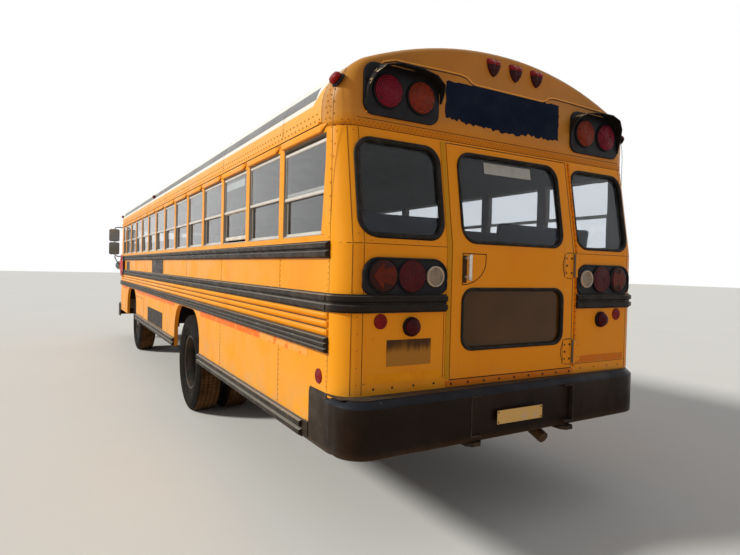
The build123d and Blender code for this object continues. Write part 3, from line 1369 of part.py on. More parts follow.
def mirrors():
    """Two flat heads on a tube arm on each side, and a round mirror ahead of the corner."""
    y = HALF_WIDTH + MIRROR_Y_REACH
    wall_y = HALF_WIDTH - FRONT_CORNER_RADIUS / 4
    foot_x = MIRROR_X - HANGER_CLEARANCE
    top = HEADER_Z - MIRROR_TOP_DROP
    low = MIRROR_ARM_BOTTOM
    ahead = MIRROR_X + ROUND_MIRROR_FORWARD
    runs = [
        ((MIRROR_X, y, low - 10), (MIRROR_X, y, top + 10)),
        ((MIRROR_X, y, top), (foot_x, wall_y, top)),
        ((MIRROR_X, y, low), (foot_x, wall_y, low)),
        ((MIRROR_X, y, low), (ahead, y - MIRROR_Y_REACH, ROUND_MIRROR_Z)),
    ]
    arm = joined([bar(start, end, MIRROR_TUBE_RADIUS, MIRROR_TUBE_SIDES) for start, end in runs])
    head_y = y + MIRROR_HEAD_SHIFT
    half = MIRROR_HEAD_WIDTH / 2
    rear = MIRROR_X - MIRROR_HEAD_DEPTH / 2
    for z_span in MIRROR_HEADS:
        arm += block(rear, rear + MIRROR_HEAD_DEPTH, head_y - half, head_y + half, *z_span)
    centre = Pos(ahead, y - MIRROR_Y_REACH, ROUND_MIRROR_Z) * Rot(0, 90, 0)
    wide = RegularPolygon(ROUND_MIRROR_RADIUS, SHAFT_SIDES)
    narrow = Pos(0, 0, ROUND_MIRROR_DEPTH) * RegularPolygon(ROUND_MIRROR_RADIUS / 2, SHAFT_SIDES)
    arm += centre * loft([wide, narrow], ruled=True)
    return joined(both_sides(arm - OUTER))


def stop_arm():
    """An octagonal sign on a bar, folded flat against the side."""
    corner_radius = STOP_SIGN_SIZE / math.cos(math.radians(22.5)) / 2
    sign_x = STOP_HINGE_X - STOP_SIGN_REACH
    half_sheet = STOP_SIGN_SHEET / 2
    octagon = Pos(sign_x, STOP_SIGN_Z) * Rot(0, 0, 22.5) * RegularPolygon(corner_radius, 8)
    sign = Pos(0, STOP_HINGE_Y + half_sheet, 0) * extrude(Plane.XZ * octagon, STOP_SIGN_SHEET)
    low, high = STOP_SIGN_Z - STOP_TUBE_HALF, STOP_SIGN_Z + STOP_TUBE_HALF
    sign += block(sign_x, STOP_HINGE_X, STOP_HINGE_Y - half_sheet, STOP_HINGE_Y + half_sheet, low, high)
    sign += upright(STOP_HINGE_X, STOP_HINGE_Y, low, high, STOP_TUBE_RADIUS, SMALL_LENS_SIDES)
    return sign - upright(STOP_HINGE_X, STOP_HINGE_Y, 0, FAR, HINGE_PIN_RADIUS + RUNNING_CLEARANCE)


def stop_bracket():
    """The fixed pin and ears of the stop arm."""
    x = STOP_HINGE_X
    radius = STOP_TUBE_RADIUS
    reach = STOP_TUBE_HALF + FIT_GAP + STOP_EAR
    bracket = upright(x, STOP_HINGE_Y, STOP_SIGN_Z - reach, STOP_SIGN_Z + reach, HINGE_PIN_RADIUS)
    for low in (STOP_SIGN_Z - reach, STOP_SIGN_Z + reach - STOP_EAR):
        bracket += upright(x, STOP_HINGE_Y, low, low + STOP_EAR, radius, SMALL_LENS_SIDES)
        bracket += block(x - radius, x + radius, HALF_WIDTH, STOP_HINGE_Y, low, low + STOP_EAR)
    return bracket


def door_hinges():
    """All fixed hinge halves: emergency door, entry door and stop arm."""
    return joined(exit_hinges() + entry_hinges() + [stop_bracket()])


def fuel_tank():
    """A tank with round edges on the right, hung from the frame rail."""
    inner_y = RAIL_OUTER_Y + HANGER_CLEARANCE
    rear = REAR_AXLE_X + TANK_BEHIND_REAR_AXLE
    centre = Pos(-inner_y - TANK_WIDTH / 2, TANK_BOTTOM + TANK_HEIGHT / 2)
    face = Plane.YZ * (centre * RectangleRounded(TANK_WIDTH, TANK_HEIGHT, TANK_CORNER))
    tank = Pos(rear, 0, 0) * extrude(face, TANK_LENGTH)
    for x in (rear + TANK_STRAP_SETBACK, rear + TANK_LENGTH - TANK_STRAP_SETBACK):
        tank += block(x - 30, x + 30, -inner_y - 5, -RAIL_OUTER_Y - FIT_GAP, *HANGER_BLOCK)
    return tank


def battery_box():
    """A box on the left behind the front wheel, hung from the frame rail."""
    front = FRONT_AXLE_X - BATTERY_AHEAD
    rear = front - BATTERY_LENGTH
    inner_y, outer_y = BATTERY_Y
    low, high = BATTERY_Z
    box = block(rear, front, inner_y, outer_y, low, high)
    inset = BATTERY_BRACKET_SETBACK
    return box + block(rear + inset, front - inset, RAIL_OUTER_Y + FIT_GAP, inner_y, high - BATTERY_BRACKET, high)


def exhaust():
    """The pipe inside the right frame rail with its silencer, out below the rear bumper."""
    y = EXHAUST_Y
    z = EXHAUST_Z
    silencer_rear = SILENCER_FRONT - SILENCER_LENGTH
    bend = (PIPE_BEND_X, y, z)
    pipe = bar((ENGINE_REAR - 2 * PIPE_HANGER, y, z), bend, PIPE_RADIUS, PIPE_SIDES)
    pipe += bar((silencer_rear, y, z), (SILENCER_FRONT, y, z), SILENCER_RADIUS, SHAFT_SIDES)
    pipe += bar((PIPE_BEND_X + PIPE_RADIUS, y, z), (PIPE_TAIL_X, y, z - PIPE_TAIL_DROP), PIPE_RADIUS, PIPE_SIDES)
    half = PIPE_HANGER / 2
    top = RAIL_BOTTOM_Z + CROSSMEMBER_RISE - FIT_GAP
    for x in crossmember_x():
        clear_of_silencer = x < silencer_rear - PIPE_HANGER or x > SILENCER_FRONT
        if clear_of_silencer and x < ENGINE_REAR - 4 * PIPE_HANGER + RAIL_FLANGE:
            pipe += block(x + half, x + 3 * half, y - half, y + half, z + PIPE_HANGER, top)
    return pipe


NODES = {
    "side_wall_left": lambda: side_wall("left"),
    "side_wall_right": lambda: side_wall("right"),
    "roof": roof,
    "rear_wall": rear_wall,
    "rear_cap": rear_cap,
    "front_wall": front_wall,
    "front_cap": front_cap,
    "floor": floor,
    "wheelhouses": wheelhouses,
    "rub_rails": rub_rails,
    "window_sashes": window_sashes,
    "body_glass": body_glass,
    "rear_bumper": lambda: bumper(REAR_BUMPER_REACH, REAR_BUMPER_END_X, REAR_BUMPER_Z, False),
    "front_bumper": lambda: bumper(FRONT_BUMPER_REACH, FRONT_BUMPER_END_X, FRONT_BUMPER_Z, True),
    "grille": grille,
    "seat_cushions": seat_cushions,
    "seat_backs": seat_backs,
    "seat_boards": seat_boards,
    "seat_legs": seat_legs,
    "dashboard": dashboard,
    "steering_wheel": steering_wheel,
    "engine_cover": engine_cover,
    "engine": engine,
    "frame_rails": frame_rails,
    "crossmembers": crossmembers,
    "front_axle": front_axle,
    "rear_axle": rear_axle,
    "leaf_springs": leaf_springs,
    "driveshaft": driveshaft,
    "fuel_tank": fuel_tank,
    "battery_box": battery_box,
    "exhaust": exhaust,
    "step_well": step_well,
    "lamp_housings": lamp_housings,
    "lamps_red": lamps_red,
    "lamps_amber": lamps_amber,
    "lamps_clear": lamps_clear,
    "mirrors": mirrors,
    "door_hinges": door_hinges,
    "stop_arm": stop_arm,
    "knuckle_left": knuckle,
    "knuckle_right": lambda: mirrored(knuckle()),
    "tyre_front_left": lambda: at_axle(TYRE, FRONT_AXLE_X, FRONT_WHEEL_Y),
    "tyre_front_right": lambda: at_axle(TYRE, FRONT_AXLE_X, -FRONT_WHEEL_Y),
    "rim_front_left": lambda: front_rim("left"),
    "rim_front_right": lambda: front_rim("right"),
    "tyres_rear_left": lambda: rear_tyres("left"),
    "tyres_rear_right": lambda: rear_tyres("right"),
    "rims_rear_left": lambda: rear_rims("left"),
    "rims_rear_right": lambda: rear_rims("right"),
    "emergency_door": emergency_door,
    "emergency_door_glass": exit_glass,
    "entry_door_front": lambda: entry_leaf(True),
    "entry_door_rear": lambda: entry_leaf(False),
    "entry_glass_front": lambda: entry_glass(True),
    "entry_glass_rear": lambda: entry_glass(False),
}

os.makedirs("parts", exist_ok=True)
for node, make in NODES.items():
    export_step(Pos(-ORIGIN_X, 0, 0) * make(), f"parts/{node}.step")
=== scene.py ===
import math
import random

import bmesh
import bpy
from mathutils import Matrix, Vector


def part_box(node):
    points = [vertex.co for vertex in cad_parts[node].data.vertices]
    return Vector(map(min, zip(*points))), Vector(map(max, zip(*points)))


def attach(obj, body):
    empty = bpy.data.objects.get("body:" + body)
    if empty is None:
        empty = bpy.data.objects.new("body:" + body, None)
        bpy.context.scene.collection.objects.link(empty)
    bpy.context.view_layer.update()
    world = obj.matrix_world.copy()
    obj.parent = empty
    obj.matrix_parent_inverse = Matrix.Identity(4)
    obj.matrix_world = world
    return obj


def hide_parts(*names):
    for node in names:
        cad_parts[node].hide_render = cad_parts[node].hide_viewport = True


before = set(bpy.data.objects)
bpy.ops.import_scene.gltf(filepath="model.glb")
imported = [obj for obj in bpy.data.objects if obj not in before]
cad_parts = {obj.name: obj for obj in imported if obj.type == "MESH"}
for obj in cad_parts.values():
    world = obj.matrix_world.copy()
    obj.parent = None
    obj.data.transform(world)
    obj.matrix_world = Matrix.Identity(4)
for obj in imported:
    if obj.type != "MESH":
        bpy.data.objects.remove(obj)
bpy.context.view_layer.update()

# Main sizes in metres. X is counted from the rear face of the body, Y to the left, Z up.
REAR_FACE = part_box("rear_wall")[0].x
HALF_WIDTH = 1.219
BODY_LENGTH = 10.65
ROOF_TOP = 2.99
SHOULDER_Z = 2.5
SHOULDER_RADIUS = 0.3
HEADER_Z = 2.385
REAR_BEND_Z = 1.76
REAR_LEAN = 0.1
REAR_CORNER = 0.15
FRONT_BEND_Z = 1.35
FRONT_LEAN = 0.13
FRONT_CORNER = 0.28
SILL_Z = 1.797
WINDOW_TOP = 2.36
MEETING_Z = 2.065
FIRST_PILLAR_X = 0.896
WINDOW_PITCH = 0.72
PILLAR_HALF = 0.04
FIRST_WINDOW_X = 0.23
DRIVER_WINDOW_FRONT = 10.05
LEFT_PILLARS = 13
RIGHT_PILLARS = 12
ROOF_WHITE_Z = 2.545
REAR_AXLE_X = 3.77
FRONT_AXLE_X = 8.57
AXLE_Z = 0.524
ENTRY_GLASS = ((0.56, 1.24), (1.33, 2.27))
REAR_OUTER_Y = 1.053
REAR_INNER_Y = 0.723
FRONT_WHEEL_Y = 0.99
SIDES = (1, -1)
NAMED_SIDES = ((1, "left"), (-1, "right"))
BODY = "coach_body"
DOOR = "emergency_door"


def at(x, y, z):
    """A point given by its distance ahead of the rear face."""
    return Vector((REAR_FACE + x, y, z))


def clamp(value, low, high):
    """The value kept between two limits."""
    return max(low, min(high, value))


# Materials
EVEN = (1, 1, 1)


class Paint:
    """A procedural material round one Principled shader, placed by the position on the bus."""

    def __init__(self, name, color, **values):
        self.material = bpy.data.materials.new(name)
        self.material.use_nodes = True
        self.tree = self.material.node_tree
        self.shader = self.tree.nodes["Principled BSDF"]
        self.shader.inputs["Base Color"].default_value = (*color, 1)
        self.shader.inputs["Specular IOR Level"].default_value = 0.14
        for key, value in values.items():
            self.shader.inputs[key.replace("_", " ")].default_value = value
        self.place = self.add("ShaderNodeTexCoord").outputs["Object"]
        self.axes = self.add("ShaderNodeSeparateXYZ", {0: self.place}).outputs
        self.color = color
        self.height = None

    def add(self, kind, inputs=None, **settings):
        """A node with its settings and inputs."""
        node = self.tree.nodes.new(kind)
        for key, value in settings.items():
            setattr(node, key, value)
        for key, value in (inputs or {}).items():
            self.feed(node.inputs[key], value)
        return node

    def feed(self, socket, value):
        """A link or a plain value on one input."""
        if isinstance(value, bpy.types.NodeSocket):
            self.tree.links.new(value, socket)
        elif isinstance(value, tuple) and len(value) == 3 and len(socket.default_value) == 4:
            socket.default_value = (*value, 1)
        else:
            socket.default_value = value

    def calc(self, operation, a, b=0.0):
        """One arithmetic step."""
        return self.add("ShaderNodeMath", {0: a, 1: b}, operation=operation).outputs[0]

    def product(self, *values):
        """Several factors multiplied."""
        result = values[0]
        for value in values[1:]:
            result = self.calc("MULTIPLY", result, value)
        return result

    def noise(self, scale, detail=3.0, rough=0.55, stretch=EVEN):
        """Noise from 0 to 1 at a scale per metre, stretched along the axes."""
        place = self.place
        if stretch != EVEN:
            place = self.add("ShaderNodeMapping", {"Vector": place, "Scale": stretch}).outputs[0]
        inputs = {"Vector": place, "Scale": scale, "Detail": detail, "Roughness": rough}
        return self.add("ShaderNodeTexNoise", inputs).outputs[0]

    def cells(self, scale):
        """Distance in a field of cells."""
        inputs = {"Vector": self.place, "Scale": scale}
        return self.add("ShaderNodeTexVoronoi", inputs).outputs["Distance"]

    def span(self, value, low, high, to_low=0.0, to_high=1.0):
        """A value mapped smoothly from one range to another and kept inside it."""
        inputs = {0: value, 1: low, 2: high, 3: to_low, 4: to_high}
        return self.add("ShaderNodeMapRange", inputs, interpolation_type="SMOOTHSTEP").outputs[0]

    def band(self, value, low, high, soft):
        """1 between two limits, 0 outside, with soft edges."""
        rise = self.span(value, low - soft, low + soft)
        fall = self.span(value, high - soft, high + soft, 1.0, 0.0)
        return self.product(rise, fall)

    def coat(self, factor, color):
        """Another colour over the one so far, where the factor says."""
        node = self.add("ShaderNodeMix", data_type="RGBA")
        self.feed(node.inputs[0], factor)
        self.feed(node.inputs[6], self.color)
        self.feed(node.inputs[7], color)
        self.color = node.outputs[2]
        self.feed(self.shader.inputs["Base Color"], self.color)

    def patches(self, color, amount, edge, *noise, **settings):
        """Soft patches of a colour, from where the noise passes the first value of edge to the second."""
        self.coat(self.span(self.noise(*noise, **settings), *edge, 0.0, amount), color)

    def rough(self, smooth, dull, *noise, edge=(0.3, 0.7), **settings):
        """A roughness that varies over the surface between two values."""
        value = self.span(self.noise(*noise, **settings), *edge, smooth, dull)
        self.feed(self.shader.inputs["Roughness"], value)

    def relief(self, height, distance, strength=1.0):
        """Surface relief by a height from 0 to 1 over a distance in metres."""
        inputs = {"Height": height, "Distance": distance, "Strength": strength}
        if self.height is not None:
            inputs["Normal"] = self.height
        self.height = self.add("ShaderNodeBump", inputs).outputs[0]
        self.feed(self.shader.inputs["Normal"], self.height)

    def from_rear(self):
        """The distance ahead of the rear face."""
        return self.calc("SUBTRACT", self.axes[0], REAR_FACE)

    def upward(self):
        """How far the surface faces up."""
        normal = self.add("ShaderNodeNewGeometry").outputs["Normal"]
        return self.add("ShaderNodeSeparateXYZ", {0: normal}).outputs[2]

    def inside(self):
        """1 on faces that look toward the passengers, 0 outside."""
        geometry = self.add("ShaderNodeNewGeometry")
        reach = BODY_LENGTH / 2 - 0.55
        along = self.calc("MAXIMUM", self.calc("MINIMUM", self.axes[0], reach), -reach)
        centre = self.add("ShaderNodeCombineXYZ", {0: along, 1: 0.0, 2: 1.9}).outputs[0]
        inputs = {0: self.place, 1: centre}
        outward = self.add("ShaderNodeVectorMath", inputs, operation="SUBTRACT").outputs[0]
        inputs = {0: geometry.outputs["Normal"], 1: outward}
        facing_out = self.add("ShaderNodeVectorMath", inputs, operation="DOT_PRODUCT").outputs["Value"]
        return self.calc("LESS_THAN", facing_out, -0.01)


YELLOW = (0.84, 0.335, 0.009)
PALE_YELLOW = (0.86, 0.41, 0.035)
DEEP_YELLOW = (0.78, 0.26, 0.004)
DUST = (0.50, 0.33, 0.17)
GREY_BAND_Z = (2.578, 2.655)
GREY_BAND_X = (0.40, 10.12)


def body_paint(name, white_roof=False, shaded_top=False):
    """Faded school bus yellow with streaks, specks and road dust, a pale lining inside, painted shade on the
    lowest edge beside the bumper, and on the caps painted shade toward the top.
    """
    p = Paint(name, YELLOW, Roughness=0.38)
    height = p.axes[2]
    p.patches(PALE_YELLOW, 0.55, (0.35, 0.75), 0.9, 4)
    p.patches(DEEP_YELLOW, 0.5, (0.5, 0.8), 2.3, 2, stretch=(1, 1, 0.4))
    p.patches((0.62, 0.27, 0.03), 0.32, (0.56, 0.85), 9.0, 5, 0.6, (1.4, 1.4, 0.05))
    specks = p.calc("LESS_THAN", p.cells(11.0), 0.035)
    p.coat(p.product(specks, p.span(p.noise(3.0), 0.5, 0.56)), (0.30, 0.13, 0.02))
    low = p.span(height, 0.62, 1.15, 0.45, 0.0)
    p.coat(p.product(low, p.span(p.noise(5.0, 5), 0.35, 0.7)), DUST)
    # Painted shade: the side's lowest edge beside the bumper is darkened to near black, where it lies in
    # shade below the bumper's end plates.
    beside_bumper = p.span(p.from_rear(), 0.47, 0.48, 1.0, 0.0)
    lower_edge = p.span(height, 0.634, 0.640, 1.0, 0.0)
    p.coat(p.product(beside_bumper, lower_edge), (0.035, 0.026, 0.018))
    bleached = p.span(height, 2.40, 2.47, 0.0, 0.45)
    p.coat(p.product(bleached, p.span(p.noise(2.0, 3), 0.2, 0.6, 0.6, 1.0)), (0.86, 0.50, 0.15))
    if white_roof:
        roof_coats(p)
    if shaded_top:
        # Painted shade: the caps' paint is darkened from the header upward, a little unevenly.
        high = p.span(height, 2.37, 2.55, 0.42, 0.62)
        p.coat(p.product(high, p.span(p.noise(1.7, 4), 0.25, 0.65, 0.75, 1.0)), (0.22, 0.085, 0.010))
    inner = p.inside()
    p.coat(inner, (0.17, 0.17, 0.17))
    p.coat(p.product(inner, p.span(p.noise(6.0, 4), 0.4, 0.8, 0.0, 0.4)), (0.11, 0.11, 0.105))
    p.relief(p.noise(1.6, 2), 0.006, 0.35)
    p.relief(p.noise(420.0, 1), 0.0003, 0.12)
    p.rough(0.3, 0.55, 4.0, 5, edge=(0.3, 0.8))
    return p.material


def roof_coats(p):
    """White over the roof from a slanted edge behind, a grey band along its sides, and dirt on its crown."""
    height = p.axes[2]
    from_rear = p.from_rear()
    behind = p.span(p.calc("ADD", from_rear, p.product(height, 1.1)), 3.22, 3.235)
    above = p.span(height, ROOF_WHITE_Z - 0.002, ROOF_WHITE_Z + 0.002)
    p.coat(p.product(above, behind), (0.78, 0.78, 0.76))
    band = p.product(p.band(height, *GREY_BAND_Z, 0.0015), p.band(from_rear, *GREY_BAND_X, 0.002))
    p.coat(band, (0.17, 0.175, 0.185))
    dirt = p.span(p.noise(2.0, 6, 0.65), 0.45, 0.75, 0.0, 0.5)
    p.coat(p.product(p.span(height, 2.7, 2.95), dirt), (0.50, 0.46, 0.40))


def black_paint(name, color=(0.030, 0.026, 0.023), dusty=0.5, chips=0.0, rear_shade=0.0):
    """Weathered black paint, dusty on upper faces, scuffed, with chipped edges, and painted shade that
    darkens its rear end.
    """
    p = Paint(name, color, Roughness=0.5)
    p.patches((0.085, 0.062, 0.045), 0.5, (0.45, 0.75), 7.0, 5, 0.65)
    p.coat(p.span(p.upward(), 0.08, 0.7, 0.0, dusty), (0.26, 0.235, 0.205))
    scuffs = p.calc("GREATER_THAN", p.noise(30.0, 6, 0.7, (0.25, 0.25, 1.6)), 0.69)
    p.coat(p.product(scuffs, 0.35), (0.30, 0.27, 0.24))
    if chips:
        flakes = p.calc("GREATER_THAN", p.noise(26.0, 4, 0.6, (1, 1, 2.5)), 0.66)
        near_edge = p.span(p.upward(), 0.05, 0.4)
        p.coat(p.product(flakes, near_edge, chips), (0.70, 0.66, 0.58))
    if rear_shade:
        # Painted shade: the parts within a few centimetres of the rear face are darkened toward black.
        p.coat(p.span(p.from_rear(), 0.08, 0.14, rear_shade, 0.0), (0.006, 0.0035, 0.0025))
    p.relief(p.noise(60.0, 4), 0.0012, 0.4)
    p.rough(0.36, 0.62, 12.0, 5)
    return p.material


def bumper_paint(name):
    """Black bumper steel: a bluish grey band along the bevel that is a painted sky reflection, brown dirt and
    scratches below.
    """
    p = Paint(name, (0.011, 0.0058, 0.0035), Roughness=0.42, Specular_IOR_Level=0.09)
    p.patches((0.024, 0.012, 0.006), 0.8, (0.4, 0.75), 3.2, 5, 0.6)
    # Painted reflection: the bevel is lighter and bluer, as the sky would show in it.
    p.coat(p.band(p.axes[2], 0.897, 0.934, 0.003), (0.014, 0.016, 0.022))
    scratches = p.calc("GREATER_THAN", p.noise(16.0, 7, 0.75, (0.6, 1.0, 0.18)), 0.685)
    p.coat(p.product(scratches, 0.4), (0.17, 0.14, 0.11))
    p.coat(p.span(p.upward(), 0.85, 0.95, 0.0, 0.5), (0.022, 0.017, 0.013))
    p.coat(p.span(p.axes[2], 0.64, 0.68, 0.5, 0.0), (0.060, 0.038, 0.022))
    p.relief(p.noise(2.4, 3), 0.01, 0.35)
    p.relief(p.noise(90.0, 3), 0.0008, 0.3)
    p.rough(0.28, 0.6, 6.0, 5)
    return p.material


def rubber(name, color):
    """Black moulded rubber with a dusty bloom."""
    p = Paint(name, color, Roughness=0.6)
    p.patches((0.075, 0.066, 0.058), 0.45, (0.45, 0.8), 18.0, 4)
    p.relief(p.noise(240.0, 2), 0.0004, 0.3)
    p.rough(0.5, 0.75, 25.0, 3)
    return p.material


def tyre_rubber(name):
    """Worn tyre: grey-black sidewalls, brown dust and sipes across the tread."""
    p = Paint(name, (0.006, 0.005, 0.0045), Roughness=0.75, Specular_IOR_Level=0.06)
    unwrapped = p.add("ShaderNodeUVMap", uv_map="unwrapped").outputs[0]
    around, across = p.add("ShaderNodeSeparateXYZ", {0: unwrapped}).outputs[:2]
    tread = p.band(across, 0.0, 1.0, 0.02)
    p.patches((0.022, 0.014, 0.009), 0.45, (0.4, 0.8), 5.0, 5, 0.62)
    p.coat(p.product(tread, p.span(p.noise(9.0, 5), 0.3, 0.7, 0.35, 0.85)), (0.125, 0.082, 0.045))
    slant = p.calc("ADD", around, p.product(p.calc("PINGPONG", across, 0.2), 0.35))
    sipes = p.product(tread, p.span(p.calc("PINGPONG", slant, 0.5), 0.05, 0.10, 1.0, 0.0))
    p.coat(p.product(sipes, 0.8), (0.012, 0.011, 0.010))
    p.relief(p.calc("SUBTRACT", 1.0, sipes), 0.004, 0.8)
    p.relief(p.noise(150.0, 4, 0.7), 0.0006, 0.6)
    p.rough(0.6, 0.85, 14.0, 4)
    return p.material


def iron(name, color, rust=0.5, metallic=0.0, roughness=0.6):
    """Painted or bare iron with rust and dry mud."""
    p = Paint(name, color, Metallic=metallic, Roughness=roughness)
    p.patches((0.14, 0.055, 0.022), rust, (0.5, 0.72), 9.0, 6, 0.7)
    p.patches((0.17, 0.12, 0.075), 0.5, (0.45, 0.8), 3.0, 4)
    p.relief(p.noise(70.0, 5, 0.7), 0.0015, 0.5)
    p.rough(roughness - 0.12, roughness + 0.2, 20.0, 4)
    return p.material


def alloy(name, color=(0.64, 0.62, 0.58), roughness=0.38, metallic=0.55):
    """Dull aluminium, brushed along its length, with dirt in patches."""
    p = Paint(name, color, Metallic=metallic, Roughness=roughness)
    p.patches((0.30, 0.26, 0.21), 0.45, (0.5, 0.8), 14.0, 5)
    p.relief(p.noise(300.0, 2, stretch=(0.03, 1, 1)), 0.0003, 0.3)
    p.rough(roughness - 0.08, roughness + 0.14, 40.0, 3, stretch=(0.1, 1, 1))
    return p.material


def glass(name, color, dirt, bend, film=(0.50, 0.48, 0.45), clear=1.0):
    """Tinted window glass with a film of dust, which hides what lies behind where it is less clear."""
    p = Paint(name, color, Roughness=0.02, IOR=bend, Transmission_Weight=clear, Specular_IOR_Level=0.5)
    p.patches(film, dirt, (0.4, 0.8), 3.5, 5)
    p.rough(0.015, 0.12, 7.0, 4, edge=(0.45, 0.8))
    p.relief(p.noise(1.3, 1), 0.002, 0.15)
    return p.material


def lens(name, color, faded):
    """Moulded lamp lens with fine prisms, faded and dusty."""
    p = Paint(name, color, Roughness=0.22, Specular_IOR_Level=0.12)
    p.patches(faded, 0.7, (0.4, 0.75), 22.0, 5, 0.6)
    prisms = p.cells(150.0)
    p.coat(p.span(prisms, 0.25, 0.75, 0.0, 0.35), tuple(c * 0.4 for c in color))
    p.relief(prisms, 0.0015, 0.5)
    p.rough(0.15, 0.4, 30.0)
    return p.material


def vinyl(name, color):
    """Seat vinyl with a leather grain, soft creases and rubbed edges."""
    p = Paint(name, color, Roughness=0.42)
    p.patches(tuple(1.7 * c for c in color), 0.6, (0.45, 0.8), 5.0, 4)
    p.relief(p.noise(16.0, 3, 0.6, (1, 0.4, 1)), 0.004, 0.35)
    p.relief(p.cells(330.0), 0.0008, 0.5)
    p.rough(0.32, 0.55, 11.0, 4)
    return p.material


def plastic(name, color, roughness=0.55):
    """Grained moulded plastic."""
    p = Paint(name, color, Roughness=roughness)
    p.patches(tuple(1.5 * c + 0.01 for c in color), 0.5, (0.45, 0.8), 8.0, 4)
    p.relief(p.cells(260.0), 0.0006, 0.4)
    p.rough(roughness - 0.1, roughness + 0.12, 15.0, 3)
    return p.material


def floor_covering(name):
    """Black ribbed rubber flooring with dusty feet marks."""
    p = Paint(name, (0.022, 0.022, 0.023), Roughness=0.6)
    ribs = p.calc("PINGPONG", p.axes[1], 0.006)
    p.relief(p.span(ribs, 0.001, 0.005), 0.0025, 0.7)
    p.patches((0.10, 0.085, 0.07), 0.7, (0.4, 0.75), 4.0, 5)
    p.rough(0.45, 0.75, 12.0)
    return p.material


def slatted(name):
    """Black painted mesh of fine upright slats."""
    p = Paint(name, (0.035, 0.033, 0.031), Roughness=0.55)
    slats = p.calc("PINGPONG", p.axes[0], 0.009)
    p.relief(p.span(slats, 0.002, 0.007), 0.004, 0.8)
    p.coat(p.span(slats, 0.001, 0.004, 0.7, 0.0), (0.006, 0.006, 0.006))
    p.patches((0.11, 0.085, 0.06), 0.5, (0.45, 0.75), 9.0, 5)
    return p.material


def reflective_strip(name):
    """Orange reflective tape, cracked and torn off in places down to pale glue."""
    p = Paint(name, (0.80, 0.17, 0.004), Roughness=0.35)
    from_rear = p.from_rear()
    torn = p.calc("GREATER_THAN", p.noise(7.0, 6, 0.65), p.span(from_rear, 0.4, 2.4, 0.40, 0.62))
    p.coat(p.product(torn, 0.9), (0.86, 0.40, 0.075))
    joints = p.calc("LESS_THAN", p.calc("PINGPONG", from_rear, 0.31), 0.008)
    p.coat(joints, (0.86, 0.42, 0.10))
    p.relief(torn, 0.0008, 0.5)
    p.rough(0.28, 0.55, 20.0)
    return p.material


def sprayed_patch(name):
    """Dark blue paint sprayed by hand over a sign's place."""
    p = Paint(name, (0.004, 0.010, 0.030), Roughness=0.7, Specular_IOR_Level=0.04)
    p.patches((0.010, 0.018, 0.042), 0.8, (0.4, 0.7), 3.0, 5, 0.6, (1, 1, 2.2))
    p.patches((0.035, 0.042, 0.060), 0.4, (0.55, 0.8), 9.0, 6, 0.7)
    p.relief(p.noise(50.0, 4), 0.001, 0.5)
    p.rough(0.45, 0.75, 6.0, 4)
    return p.material


def streaked_patch(name):
    """Dark residue that runs down from its top edge."""
    p = Paint(name, (0.40, 0.20, 0.035), Roughness=0.6)
    runs = p.calc("SUBTRACT", p.noise(40.0, 4, 0.6, (0.6, 0.6, 0.05)), 0.5)
    amount = p.calc("ADD", p.span(p.axes[2], 1.10, 1.225), p.product(runs, 1.4))
    p.coat(p.span(amount, 0.35, 1.0, 0.0, 0.95), (0.045, 0.022, 0.012))
    p.relief(p.noise(80.0, 4), 0.0006, 0.4)
    return p.material


def plain_tape(name, color, other):
    """A painted or taped strip with worn patches of another colour."""
    p = Paint(name, color, Roughness=0.45)
    p.patches(other, 0.85, (0.46, 0.66), 12.0, 6, 0.7)
    p.relief(p.noise(120.0, 3), 0.0005, 0.4)
    p.rough(0.35, 0.6, 25.0)
    return p.material


def ribbed_seal(name):
    """Olive yellow door seal with fine level ribs."""
    p = Paint(name, (0.66, 0.34, 0.016), Roughness=0.6)
    ribs = p.calc("PINGPONG", p.axes[2], 0.006)
    p.relief(p.span(ribs, 0.001, 0.005), 0.002, 0.8)
    p.coat(p.span(ribs, 0.0, 0.003, 0.5, 0.0), (0.34, 0.19, 0.01))
    p.patches((0.50, 0.32, 0.02), 0.5, (0.45, 0.75), 9.0, 5)
    return p.material


def hinge_strip(name):
    """Yellow piano hinge with its knuckles one above the other."""
    p = Paint(name, DEEP_YELLOW, Roughness=0.45)
    gaps = p.calc("PINGPONG", p.axes[2], 0.02)
    p.relief(p.span(gaps, 0.001, 0.004), 0.003, 0.9)
    p.coat(p.span(gaps, 0.0005, 0.003, 0.9, 0.0), (0.10, 0.045, 0.01))
    p.patches((0.33, 0.13, 0.02), 0.6, (0.5, 0.75), 14.0, 5)
    return p.material


def hood_paint(name):
    """Black lamp hood with cream paint that peels off its top."""
    p = Paint(name, (0.014, 0.013, 0.014), Roughness=0.5)
    flakes = p.calc("GREATER_THAN", p.noise(13.0, 6, 0.62), 0.53)
    p.coat(p.product(flakes, p.span(p.upward(), 0.2, 0.5)), (0.52, 0.40, 0.22))
    p.patches((0.07, 0.06, 0.055), 0.4, (0.55, 0.8), 30.0, 5)
    p.relief(p.noise(45.0, 5), 0.0015, 0.5)
    p.rough(0.4, 0.65, 12.0)
    return p.material


